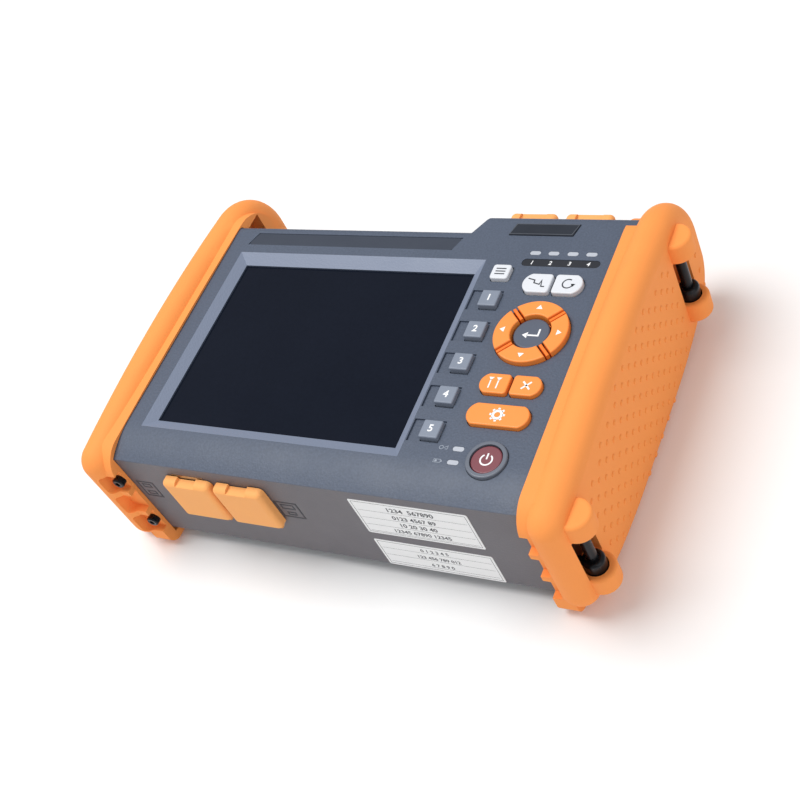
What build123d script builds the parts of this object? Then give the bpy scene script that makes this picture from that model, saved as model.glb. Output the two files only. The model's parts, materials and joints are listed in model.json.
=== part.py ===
"""Hand-held optical time domain reflectometer, built piece by piece.

The instrument lies on its back with the screen up. X runs across the panel, Y runs up the panel
towards the optical ports, and Z rises out of the panel. The origin is on the resting surface, under
the middle of the box. All sizes are in millimetres.
"""
from build123d import *
import math
import os

# Casing: two shells that meet at a parting line
panel_z = 67.0
casing_back_z = 8.4
parting_z = 32.0
casing_half_width = 101.5
casing_bottom_y = -76.5
casing_top_low_y = 53.9
casing_top_high_y = 62.6
top_step_x = 28.0
top_step_run = 5.0
shell_wall = 2.5
crease_drop = 4.0
crease_run = 17.0
shell_edge_radius = 3.0
back_edge_radius = 4.0
screw_post_radius = 4.0
screw_post_x = 95.6
screw_post_rows = (-58.0, -5.0, 40.0)
fit_gap = 0.2

# Bumpers; the resting level is where their backs end, in the heights used here
rest_level = 2.3
bumper_inner_x = 93.5
bumper_outer_x = 111.0
bumper_half_length = 84.0
bumper_crest_z = 72.0
bumper_front_sag_radius = 750.0
bumper_back_flat = 22.0
bumper_back_curve_radius = 200.0
rim_radius = 7.4
rim_bottom_corner = 9.0
rim_top_corner = 28.0
rim_back_corner = 9.0
rim_top_back_corner = 22.0
band_front_z = 68.3
band_sag_radius = 2500.0
band_bottom_y = -81.8
band_top_y = 71.5
band_back_z = 4.0
band_bottom_corner = 12.0
band_top_corner = 18.0
band_overlap = 6.0
end_wall = 6.0
band_arm_z = 62.5
pocket_floor = 1.8
left_pocket_outer_x = 102.4
right_pocket_outer_x = 98.0
pocket_spans = ((46.0, 57.0), (31.0, 43.0), (15.5, 28.0))
pocket_corner = 2.0

# Strap lugs on the outer side of each bumper
lug_rows = (-71.8, 58.0)
lug_radius = 7.0
lug_axis_x = 111.6
lug_front_z = 62.0
lug_slot_top_z = 52.0
lug_slot_bottom_z = 27.4
lug_back_z = 17.4
lug_edge_radius = 1.5
left_lug_drop = 10.5
slot_depth = 7.4
lug_cup_radius = 4.8
lug_cup_floor_z = 24.0
pin_foot_radius = 4.4
pin_foot_top_z = 33.0
pin_plate_thickness = 0.6
pin_plate_half_width = 4.6
strap_pin_radius = 2.2
strap_pin_x = 111.0
pin_seat_depth = 2.0
pin_gap = 0.05

# Screen
screen_x = -23.0
screen_y = -11.65
window_width = 116.0
window_height = 87.7
bevel_side = 4.3
bevel_end = 5.45
bevel_depth = 3.0
lip_thickness = 0.8
glass_overlap = 2.0
glass_thickness = 1.8
display_thickness = 5.0
display_inset = 1.0
frame_thickness = 1.2
frame_ear = 4.5
bezel_wall = 2.0

# Keys
key_gap = 0.3
key_rise = 2.0
key_edge_radius = 0.6
key_travel = 1.2
key_flange = 0.5
key_flange_thickness = 1.2
key_stem_clearance = 0.1
f_key_size = 8.0
f_key_x = 49.2
f_key_top_y = 16.1
f_key_pitch = 16.1
f_pocket_depth = 0.8
f_pocket_margin = 1.1
menu_key_y = 30.0
menu_key_height = 7.5
pair_gap = 1.3
pair_x = 73.4
pair_half_width = 12.7
white_key_y = 24.8
white_key_height = 9.6
orange_key_y = -25.1
orange_key_height = 9.1
setup_key_y = -39.3
setup_key_height = 9.8
key_end_bulge = 3.2
key_corner = 1.3
ring_x = 72.9
ring_y = 0.2
ring_outer_radius = 15.1
ring_inner_radius = 8.2
ring_groove = 0.7
ring_rib = 1.3
ring_crown = 0.5
enter_radius = 7.3
enter_drop = 1.0
power_x = 75.6
power_y = -58.2
power_radius = 6.1
power_drop = 0.4
power_ring_radius = 8.1
power_ring_rise = 1.1
power_neck_radius = 7.2
power_neck_seat = 1.0

# Lamps and inlaid strips
lamp_length = 4.6
lamp_width = 2.0
lamp_row_y = 42.0
lamp_row_x = (59.8, 67.8, 76.0, 84.0)
power_lamp_x = 62.7
power_lamp_rows = (-54.7, -60.7)
lamp_gap = 0.1
inlay_depth = 0.5
inlay_gap = 0.15
lamp_strip_x = 72.3
lamp_strip_y = 36.9
lamp_strip_length = 33.6
lamp_strip_height = 3.9
title_left_x = -84.0
title_right_x = 24.3
title_bottom_y = 42.3
title_top_y = 49.3
title_slant = 3.0
badge_x = 59.5
badge_y = 54.6
badge_length = 30.3
badge_height = 6.6
badge_rise = 0.5
badge_slant = 1.6

# Boards and inner pieces
key_board_thickness = 1.6
key_mat_thickness = 1.6
key_board_left_x = 44.8
key_board_right_x = 90.0
key_board_bottom_y = -71.0
key_board_top_y = 50.0
board_post_inset = 2.75
dome_height = 0.3
main_board_top_z = 44.0
main_board_thickness = 1.6
main_board_left_x = -91.0
main_board_right_x = 24.0
main_board_bottom_y = -73.6
main_board_top_y = 46.0
board_post_radius = 3.2
chip_height = 2.4
chip_size = 14.0
chip_spacing = 30.0
module_x = 58.5
module_y = 13.0
module_width = 60.0
module_length = 62.0
module_height = 25.0
fibre_tray_radius = 26.0
fibre_tray_height = 8.0
fibre_tray_core = 14.0

# Battery
battery_x = 0.0
battery_y = -45.0
battery_length = 132.0
battery_width = 38.0
battery_cell_radius = 9.2
battery_gap = 0.5
bay_wall = 4.0
bay_roof = 1.6
cover_thickness = 2.0
cover_lip = 3.0
cover_gap = 0.3

# Tilt stand on the back
stand_half_width = 52.0
stand_arm = 13.0
stand_foot = 12.0
stand_corner = 7.0
stand_thickness = 5.0
stand_sink = 0.2
stand_hinge_y = 40.0
stand_reach = 52.0
stand_gap = 0.4
stand_pin_radius = 1.2
stand_pin_gap = 0.05
stand_pin_length = 12.0
stand_side_wall = 8.0

# Sockets in the bottom face and the optical adapters in the top face
lan_x = -58.0
lan_width = 16.0
lan_height = 13.4
lan_depth = 18.0
lan_mouth_width = 11.8
lan_mouth_height = 8.4
lan_mouth_depth = 12.0
dc_x = -58.0
dc_radius = 3.9
dc_body = 9.0
dc_depth = 14.0
dc_bore_radius = 2.8
dc_pin_radius = 1.0
usb_x = -32.0
usb_width = 14.4
usb_height = 7.2
usb_depth = 18.0
usb_mouth_width = 12.4
usb_mouth_height = 5.0
usb_mouth_depth = 12.0
usb_tongue_thickness = 1.6
mini_usb_width = 8.6
mini_usb_height = 4.0
mini_usb_depth = 9.0
mini_usb_mouth = 0.6
socket_gap = 0.2
adapter_z = 45.5
adapter_pair_pitch = 10.4
adapter_flange = 13.0
adapter_small_flange = 10.0
adapter_flange_thickness = 2.0
adapter_barrel_radius = 3.9
adapter_small_barrel_radius = 3.2
adapter_barrel_length = 7.0
adapter_body_length = 12.0
adapter_body_radius = 3.0
adapter_bore_radius = 1.27
adapter_bore_depth = 11.0

# Hinged rubber port covers
port_cover_width = 24.0
port_cover_pitch = 26.0
port_cover_x = -45.0
port_cover_top_z = 56.6
port_cover_depth = 4.6
optic_cover_width = 21.4
optic_cover_pitch = 25.4
optic_cover_x = 58.0
optic_cover_top_z = 57.6
optic_cover_depth = 11.4
cover_wall = 1.8
cover_seat_gap = 0.3
cover_edge_radius = 2.2
port_cover_notch = 9.6
optic_cover_notch = 12.0
cover_notch_depth = 1.4
cover_bead_radius = 1.3
tongue_width = 14.0
tongue_thickness = 1.6
tongue_gap = 0.2

# Screws
bumper_screw_head = 2.7
bumper_screw_head_height = 3.0
bumper_screw_radius = 1.4
bumper_screw_length = 7.0
bumper_boss_length = 7.0
bumper_screw_x = 96.2
bumper_screw_rows = (51.0, 21.5)
back_screw_x = 97.5
back_screw_rows = (-42.0, 50.0)
back_screw_head_depth = 3.0
shell_screw_radius = 1.5
shell_screw_head = 2.8
shell_screw_head_height = 2.2
shell_screw_reach = 26.0
screw_gap = 0.1

# Values worked out from the sizes above
glass_z = panel_z - bevel_depth - lip_thickness
display_z = glass_z - glass_thickness
frame_z = display_z - display_thickness
shell_inner_z = panel_z - shell_wall
key_flange_z = shell_inner_z - key_stem_clearance
key_mat_z = key_flange_z - key_flange_thickness - key_travel - dome_height
key_board_z = key_mat_z - key_mat_thickness
main_board_z = main_board_top_z - main_board_thickness
panel_curve_start = casing_bottom_y + crease_run
panel_curve_radius = (crease_run ** 2 + crease_drop ** 2) / (2 * crease_drop)
floor_z = casing_back_z + shell_wall
glass_width = window_width + 2 * glass_overlap
glass_height = window_height + 2 * glass_overlap
battery_half_length = battery_length / 2 + battery_gap
battery_half_width = battery_width / 2 + battery_gap
bay_roof_z = casing_back_z + cover_thickness + 2 * battery_cell_radius + battery_gap
bay_top_z = bay_roof_z + bay_roof
stand_recess_z = casing_back_z + stand_sink + stand_thickness + stand_gap
stand_pin_z = casing_back_z + stand_sink + stand_thickness / 2
module_z = stand_recess_z + bay_roof
module_top_z = module_z + module_height
dc_z = main_board_z - dc_body / 2
mini_usb_z = main_board_z - mini_usb_height / 2
adapters = (
    (optic_cover_x - optic_cover_pitch / 2, adapter_z, adapter_flange, adapter_barrel_radius),
    (optic_cover_x + optic_cover_pitch / 2, adapter_z + adapter_pair_pitch / 2, adapter_small_flange,
     adapter_small_barrel_radius),
    (optic_cover_x + optic_cover_pitch / 2, adapter_z - adapter_pair_pitch / 2, adapter_small_flange,
     adapter_small_barrel_radius),
)
cover_foot_z = parting_z + cover_bead_radius / 2
pocket_floor_y = casing_bottom_y - fit_gap - pocket_floor
end_wall_inner_y = band_top_y - end_wall
port_cover_places = [port_cover_x + side * port_cover_pitch / 2 for side in (-1, 1)]
optic_cover_places = [optic_cover_x + side * optic_cover_pitch / 2 for side in (-1, 1)]
f_key_rows = [f_key_top_y - f_key_pitch * index for index in range(5)]

os.makedirs("parts", exist_ok=True)


def save(part, label):
    """Set a finished piece down on the resting surface, name it and write its own STEP file."""
    part = part.moved(Location((0, 0, -rest_level)))
    part.label = label
    export_step(part, f"parts/{label}.step")


def at(x, y, z):
    """A horizontal work plane through a point."""
    return Plane((x, y, z))


def facing_down_y(x, y, z):
    """A work plane whose normal points towards -Y, with local x along +X and local y along +Z."""
    return Plane((x, y, z), x_dir=(1, 0, 0), z_dir=(0, -1, 0))


def facing_up_y(x, y, z):
    """A work plane whose normal points towards +Y, with local x along +X and local y along -Z."""
    return Plane((x, y, z), x_dir=(1, 0, 0), z_dir=(0, 1, 0))


def casing_outline(inset):
    """Front view of the casing, drawn inside the real outline by a wall."""
    left = -casing_half_width + inset
    right = casing_half_width - inset
    slope = math.atan2(casing_top_high_y - casing_top_low_y, top_step_run)
    step_shift = inset * math.tan(slope / 2)
    with BuildLine() as edge:
        Polyline(
            (left, casing_bottom_y + inset),
            (right, casing_bottom_y + inset),
            (right, casing_top_high_y - inset),
            (top_step_x + top_step_run + step_shift, casing_top_high_y - inset),
            (top_step_x + step_shift, casing_top_low_y - inset),
            (left, casing_top_low_y - inset),
            close=True,
        )
    return edge


def casing_side(inset):
    """Side view of the casing: flat panel, curve down to the crease, straight bottom face."""
    front = panel_z - inset
    bottom = casing_bottom_y + inset
    start = panel_curve_start
    radius = panel_curve_radius - inset
    run = start - bottom
    drop = radius - math.sqrt(radius ** 2 - run ** 2)
    half = math.asin(run / radius) / 2
    middle = (start - radius * math.sin(half), front - radius * (1 - math.cos(half)))
    top = casing_top_high_y - inset
    with BuildLine() as edge:
        curve = ThreePointArc((bottom, front - drop), middle, (start, front))
        Polyline(curve @ 1, (top, front), (top, 0), (bottom, 0), curve @ 0)
    return edge


def casing_solid(inset, low_z, high_z, edge_radius=0):
    """The casing's outer form, or its hollow, between two heights, with its top edge rounded."""
    with BuildPart(mode=Mode.PRIVATE) as form:
        with BuildSketch(Plane.XY.offset(low_z)) as plan:
            with BuildLine():
                add(casing_outline(inset).line)
            make_face()
        extrude(amount=high_z - low_z)
        with BuildSketch(Plane.YZ) as side:
            with BuildLine():
                add(casing_side(inset).line)
            make_face()
        extrude(amount=casing_half_width - inset, both=True, mode=Mode.INTERSECT)
        if edge_radius:
            along_x = form.edges().filter_by(Axis.X)
            top_edges = along_x.filter_by_position(Axis.Z, panel_z - inset - 0.01, panel_z - inset + 0.01)
            fillet(top_edges.filter_by_position(Axis.Y, casing_top_low_y - 5, casing_top_high_y + 5), edge_radius)
    return form.part


def rounded_end_key(centre_x, centre_y, width, height, left, right, grow):
    """Key outline whose chosen ends bulge outwards in an arc."""
    x0 = -width / 2 - grow
    x1 = width / 2 + grow
    y1 = height / 2 + grow
    left_inset = key_end_bulge if left else 0
    right_inset = key_end_bulge if right else 0
    with Locations((centre_x, centre_y)):
        with BuildSketch(mode=Mode.PRIVATE) as outline:
            with BuildLine():
                top = Line((x0 + left_inset, y1), (x1 - right_inset, y1))
                if right:
                    ThreePointArc(top @ 1, (x1, 0), (x1 - right_inset, -y1))
                else:
                    Line(top @ 1, (x1, -y1))
                bottom = Line((x1 - right_inset, -y1), (x0 + left_inset, -y1))
                if left:
                    ThreePointArc(bottom @ 1, (x0, 0), top @ 0)
                else:
                    Line(bottom @ 1, top @ 0)
            make_face()
            fillet(outline.vertices(), key_corner)
        add(outline.sketch)


def key_outline(name, grow=0):
    """Outline of one push key in the panel plane, drawn larger all round by a gap or a flange."""
    size = f_key_size + 2 * grow
    if name.startswith("key_f"):
        with Locations((f_key_x, f_key_rows[int(name[-1]) - 1])):
            RectangleRounded(size, size, key_corner / 2)
    elif name == "key_menu":
        with Locations((f_key_x, menu_key_y)):
            RectangleRounded(size, menu_key_height + 2 * grow, key_corner)
    elif name == "key_setup":
        rounded_end_key(pair_x, setup_key_y, 2 * pair_half_width, setup_key_height, True, True, grow)
    elif name in pair_keys:
        side, row, height = pair_keys[name]
        width = pair_half_width - pair_gap / 2
        centre = pair_x + side * (pair_half_width + pair_gap / 2) / 2
        rounded_end_key(centre, row, width, height, side < 0, side > 0, grow)


# Each paired key: which side of the pair it stands on, its row and its height
pair_keys = {
    "key_trace": (-1, white_key_y, white_key_height),
    "key_auto": (1, white_key_y, white_key_height),
    "key_marker": (-1, orange_key_y, orange_key_height),
    "key_escape": (1, orange_key_y, orange_key_height),
}
plain_keys = ["key_menu", *[f"key_f{index + 1}" for index in range(5)], *pair_keys, "key_setup"]


def socket_outlines(grow):
    """The network, power, data and small data sockets, seen from the bottom face."""
    with Locations((lan_x, main_board_top_z + lan_height / 2)):
        Rectangle(lan_width + 2 * grow, lan_height + 2 * grow)
    with Locations((dc_x, dc_z)):
        Circle(dc_radius + grow)
    with Locations((usb_x, main_board_top_z + usb_height / 2)):
        Rectangle(usb_width + 2 * grow, usb_height + 2 * grow)
    with Locations((usb_x, mini_usb_z)):
        Rectangle(mini_usb_width + 2 * grow, mini_usb_height + 2 * grow)


def bumper_screw_seat(row_z):
    """A boss behind the bottom face, bored for a screw of the left bumper's end."""
    with BuildSketch(facing_down_y(-bumper_screw_x, casing_bottom_y + bumper_boss_length, row_z)) as boss:
        Circle(bumper_screw_head)
    extrude(boss.sketch, amount=bumper_boss_length - shell_wall / 2)
    with BuildSketch(facing_down_y(-bumper_screw_x, casing_bottom_y + bumper_boss_length, row_z)) as bore:
        Circle(bumper_screw_radius + screw_gap)
    extrude(bore.sketch, amount=bumper_boss_length + 1, mode=Mode.SUBTRACT)


def tongue_slots():
    """Slots at the parting line that clamp the tongues of the rubber covers."""
    for places, face_y, way in ((port_cover_places, casing_bottom_y, -1), (optic_cover_places, casing_top_high_y, 1)):
        for x in places:
            slab(
                x - tongue_width / 2, x + tongue_width / 2, face_y + way, face_y - way * (shell_wall + 1),
                parting_z - tongue_thickness / 2, parting_z + tongue_thickness / 2, Mode.SUBTRACT,
            )


def slab(x0, x1, y0, y1, z0, z1, mode=Mode.ADD):
    """A straight-sided block between two corners."""
    with BuildSketch(at((x0 + x1) / 2, (y0 + y1) / 2, z0)) as plan:
        Rectangle(abs(x1 - x0), abs(y1 - y0))
    extrude(plan.sketch, amount=z1 - z0, mode=mode)


def lamp_outline(grow=0):
    """The six small oval lamps."""
    places = [(x, lamp_row_y) for x in lamp_row_x] + [(power_lamp_x, y) for y in power_lamp_rows]
    with Locations(*places):
        SlotOverall(lamp_length + 2 * grow, lamp_width + 2 * grow)


def title_outline(gap):
    """Long inlaid strip over the screen, with a slanted right end."""
    left = title_left_x + gap
    right = title_right_x - gap
    with BuildLine() as edge:
        Polyline(
            (left, title_bottom_y + gap),
            (right - title_slant, title_bottom_y + gap),
            (right, title_top_y - gap),
            (left + title_slant, title_top_y - gap),
            close=True,
        )
    make_face(edge.edges())


def badge_outline(gap):
    """Small slanted badge plate at the top right."""
    half = badge_length / 2 - gap
    high = badge_height / 2 - gap
    with BuildLine() as edge:
        Polyline(
            (badge_x - half, badge_y - high),
            (badge_x + half - badge_slant, badge_y - high),
            (badge_x + half, badge_y + high),
            (badge_x - half + badge_slant, badge_y + high),
            close=True,
        )
    make_face(edge.edges())


# Front shell: panel, bottom face, top face and side walls down to the parting line
with BuildPart() as front_shell:
    add(casing_solid(0, parting_z, panel_z + 1, shell_edge_radius))
    add(casing_solid(shell_wall, parting_z, panel_z), mode=Mode.SUBTRACT)
    # Raised frame under the panel that carries the glass
    with BuildSketch(at(screen_x, screen_y, glass_z)) as bezel_plan:
        Rectangle(glass_width + 2 * bezel_wall, glass_height + 2 * bezel_wall)
    extrude(amount=panel_z - glass_z - fit_gap)
    # Bevelled recess down to the window, then the straight lip
    with BuildSketch(at(screen_x, screen_y, panel_z)) as bevel_top:
        Rectangle(window_width + 2 * bevel_side, window_height + 2 * bevel_end)
    with BuildSketch(at(screen_x, screen_y, panel_z - bevel_depth)) as bevel_foot:
        Rectangle(window_width, window_height)
    loft(mode=Mode.SUBTRACT)
    with BuildSketch(at(screen_x, screen_y, glass_z)) as lip_plan:
        Rectangle(window_width, window_height)
    extrude(amount=bevel_depth + lip_thickness, mode=Mode.SUBTRACT)
    # Shallow pockets that run from the screen bevel to each function key
    f_pocket_left = screen_x + window_width / 2 + bevel_side + key_flange
    f_pocket_right = f_key_x + f_key_size / 2 + key_gap
    with BuildSketch(Plane.XY.offset(panel_z - f_pocket_depth)) as f_pockets:
        for row in f_key_rows:
            with Locations(((f_pocket_left + f_pocket_right) / 2, row)):
                Rectangle(f_pocket_right - f_pocket_left, f_key_size + 2 * f_pocket_margin)
    extrude(amount=f_pocket_depth + 1, mode=Mode.SUBTRACT)
    # Key and lamp holes, a running gap larger than what stands in them
    with BuildSketch(Plane.XY.offset(shell_inner_z - 1)) as panel_holes:
        for name in plain_keys:
            key_outline(name, key_gap)
        with Locations((ring_x, ring_y)):
            Circle(ring_outer_radius + key_gap)
        with Locations((power_x, power_y)):
            Circle(power_neck_radius + fit_gap)
        lamp_outline(lamp_gap)
    extrude(amount=shell_wall + 2, mode=Mode.SUBTRACT)
    # Seat of the ring round the power button
    with BuildSketch(at(power_x, power_y, panel_z - power_neck_seat)) as power_seat:
        Circle(power_ring_radius + fit_gap)
    extrude(amount=shell_wall, mode=Mode.SUBTRACT)
    # Beds of the inlaid strips
    with BuildSketch(Plane.XY.offset(panel_z - inlay_depth)) as inlay_beds:
        with Locations((lamp_strip_x, lamp_strip_y)):
            SlotOverall(lamp_strip_length, lamp_strip_height)
        title_outline(0)
        badge_outline(0)
    extrude(amount=inlay_depth + 1, mode=Mode.SUBTRACT)
    # Posts: shell screws, the display frame and the key board
    with BuildSketch(Plane.XY.offset(parting_z)) as screw_posts:
        for side in (-1, 1):
            with Locations(*[(side * screw_post_x, row) for row in screw_post_rows]):
                Circle(screw_post_radius)
    extrude(amount=shell_inner_z - parting_z)
    with BuildSketch(Plane.XY.offset(frame_z)) as frame_posts:
        with Locations((screen_x, screen_y)):
            with GridLocations(glass_width + 2 * frame_ear, glass_height - 2 * frame_ear, 2, 2):
                Circle(frame_ear / 2)
    extrude(amount=shell_inner_z - frame_z + fit_gap)
    with BuildSketch(Plane.XY.offset(key_board_z)) as board_posts:
        middle_x = (key_board_left_x + key_board_right_x) / 2
        middle_y = (key_board_bottom_y + key_board_top_y) / 2
        with Locations((middle_x, middle_y)):
            with GridLocations(
                key_board_right_x - key_board_left_x - 2 * board_post_inset,
                key_board_top_y - key_board_bottom_y - 2 * board_post_inset, 2, 2,
            ):
                Circle(frame_ear / 2)
    extrude(amount=shell_inner_z - key_board_z + fit_gap)
    with BuildSketch(Plane.XY.offset(parting_z)) as screw_bores:
        for side in (-1, 1):
            with Locations(*[(side * screw_post_x, row) for row in screw_post_rows]):
                Circle(shell_screw_radius + screw_gap)
    extrude(amount=shell_screw_reach, mode=Mode.SUBTRACT)
    # Openings for the sockets in the bottom face and for the optical adapters in the top face
    with BuildSketch(facing_down_y(0, casing_bottom_y + shell_wall + 1, 0)) as socket_openings:
        socket_outlines(socket_gap)
    extrude(amount=shell_wall + 2, mode=Mode.SUBTRACT)
    with BuildSketch(facing_down_y(0, casing_top_high_y + 1, 0)) as adapter_holes:
        for x, z, flange, barrel in adapters:
            with Locations((x, z)):
                Circle(adapter_body_radius + socket_gap)
    extrude(amount=shell_wall + 2, mode=Mode.SUBTRACT)
    bumper_screw_seat(bumper_screw_rows[0])
    tongue_slots()
save(front_shell.part, "front_shell")


board_post_places = [
    (x, y)
    for x in (main_board_left_x + 2 * board_post_radius, main_board_right_x - 2 * board_post_radius)
    for y in (main_board_bottom_y + 2 * board_post_radius, main_board_top_y - 2 * board_post_radius)
]

# Rear shell: back wall with the battery bay, the stand's recess and all the screw posts
with BuildPart() as rear_shell:
    add(casing_solid(0, casing_back_z, parting_z))
    back_edges = rear_shell.edges().filter_by(Axis.X).filter_by_position(
        Axis.Z, casing_back_z - 0.01, casing_back_z + 0.01
    )
    fillet(back_edges, back_edge_radius)
    add(casing_solid(shell_wall, floor_z, parting_z), mode=Mode.SUBTRACT)
    with BuildSketch(Plane.XY.offset(casing_back_z + shell_wall / 2)) as posts:
        for side in (-1, 1):
            with Locations(*[(side * screw_post_x, row) for row in screw_post_rows]):
                Circle(screw_post_radius)
    extrude(amount=parting_z - casing_back_z - shell_wall / 2)
    with BuildSketch(Plane.XY.offset(casing_back_z + shell_wall / 2)) as bumper_bosses:
        for side in (-1, 1):
            with Locations(*[(side * back_screw_x, row) for row in back_screw_rows]):
                Circle(bumper_screw_head)
    extrude(amount=bumper_screw_length)
    with BuildSketch(Plane.XY.offset(casing_back_z + shell_wall / 2)) as board_stand:
        with Locations(*board_post_places):
            Circle(board_post_radius)
    extrude(amount=main_board_z - casing_back_z - shell_wall / 2)
    # Battery bay, with a step round its mouth for the cover
    bay_x = battery_half_length + bay_wall
    bay_y = battery_half_width + bay_wall
    slab(battery_x - bay_x, battery_x + bay_x, battery_y - bay_y, battery_y + bay_y, casing_back_z, bay_top_z)
    slab(
        battery_x - battery_half_length, battery_x + battery_half_length,
        battery_y - battery_half_width, battery_y + battery_half_width,
        casing_back_z, bay_roof_z, Mode.SUBTRACT,
    )
    with BuildSketch(at(battery_x, battery_y, casing_back_z)) as cover_step:
        RectangleRounded(2 * (battery_half_length + cover_lip), 2 * (battery_half_width + cover_lip), cover_lip)
    extrude(amount=cover_thickness, mode=Mode.SUBTRACT)
    # Pad and recess of the tilt stand
    stand_x = stand_half_width + stand_gap
    stand_top = stand_hinge_y + stand_thickness / 2 + stand_gap
    stand_foot_y = stand_hinge_y - stand_reach - stand_gap
    slab(
        -stand_x - stand_side_wall, stand_x + stand_side_wall,
        stand_foot_y - bay_roof, stand_top + bay_roof, casing_back_z, module_z,
    )
    with BuildSketch(at(0, 0, casing_back_z)) as stand_bed:
        with Locations((0, (stand_top + stand_foot_y) / 2)):
            Rectangle(2 * stand_x, stand_top - stand_foot_y)
        fillet(stand_bed.vertices().group_by(Axis.Y)[0], stand_corner)
    extrude(amount=stand_recess_z - casing_back_z, mode=Mode.SUBTRACT)
    with BuildSketch(Plane.YZ) as stand_pin_line:
        with Locations((stand_hinge_y, stand_pin_z)):
            Circle(stand_pin_radius + stand_pin_gap)
    extrude(amount=stand_half_width + stand_pin_length / 2 + stand_gap, both=True, mode=Mode.SUBTRACT)
    # Bores of the shell screws, sunk from the back, and of the bumper screws
    for side in (-1, 1):
        with Locations(*[Location((side * screw_post_x, row, casing_back_z), (180, 0, 0)) for row in screw_post_rows]):
            CounterBoreHole(
                shell_screw_radius + screw_gap, shell_screw_head + screw_gap,
                shell_screw_head_height + screw_gap, parting_z - casing_back_z + 1,
            )
        with Locations(*[Location((side * back_screw_x, row, casing_back_z), (180, 0, 0)) for row in back_screw_rows]):
            Hole(bumper_screw_radius + screw_gap, bumper_screw_length)
    bumper_screw_seat(bumper_screw_rows[1])
    tongue_slots()
save(rear_shell.part, "rear_shell")


def lug_drop(side):
    """How far the lugs of one bumper lie behind the right one's."""
    return left_lug_drop if side < 0 else 0


def lug_lobe(side, row, low_z, high_z):
    """One rounded lobe of a strap lug, rooted in the rim."""
    with BuildPart(mode=Mode.PRIVATE) as lobe:
        with BuildSketch(at(side * lug_axis_x, row, low_z - lug_drop(side))):
            Circle(lug_radius)
            with Locations((-side * rim_radius / 2, 0)):
                Rectangle(rim_radius, 2 * lug_radius)
        extrude(amount=high_z - low_z)
        fillet(lobe.edges().group_by(Axis.Z)[0] + lobe.edges().group_by(Axis.Z)[-1], lug_edge_radius)
    return lobe.part


def rim_outline():
    """Side view of a bumper's outer rim: bowed front, flat and rising back, round corners."""
    reach = bumper_half_length
    front_drop = reach ** 2 / (2 * bumper_front_sag_radius)
    rise_run = reach - bumper_back_flat
    back_sag = bumper_back_curve_radius - math.sqrt(bumper_back_curve_radius ** 2 - rise_run ** 2)
    back_rise = rest_level + back_sag
    with BuildLine() as edge:
        front = ThreePointArc(
            (-reach, bumper_crest_z - front_drop), (0, bumper_crest_z), (reach, bumper_crest_z - front_drop)
        )
        top_back = TangentArc((bumper_back_flat, rest_level), (reach, back_rise), tangent=(1, 0))
        bottom_back = TangentArc((-bumper_back_flat, rest_level), (-reach, back_rise), tangent=(-1, 0))
        Line(front @ 1, top_back @ 1)
        Line(top_back @ 0, bottom_back @ 0)
        Line(bottom_back @ 1, front @ 0)
    make_face(edge.edges())


def band_outline():
    """Side view of a bumper's inner band, shorter and lower than the rim."""
    front_drop = band_top_y ** 2 / (2 * band_sag_radius)
    with BuildLine() as edge:
        front = ThreePointArc(
            (band_bottom_y, band_front_z - front_drop), (0, band_front_z), (band_top_y, band_front_z - front_drop)
        )
        Polyline(front @ 1, (band_top_y, band_back_z), (band_bottom_y, band_back_z), front @ 0)
    make_face(edge.edges())


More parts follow.
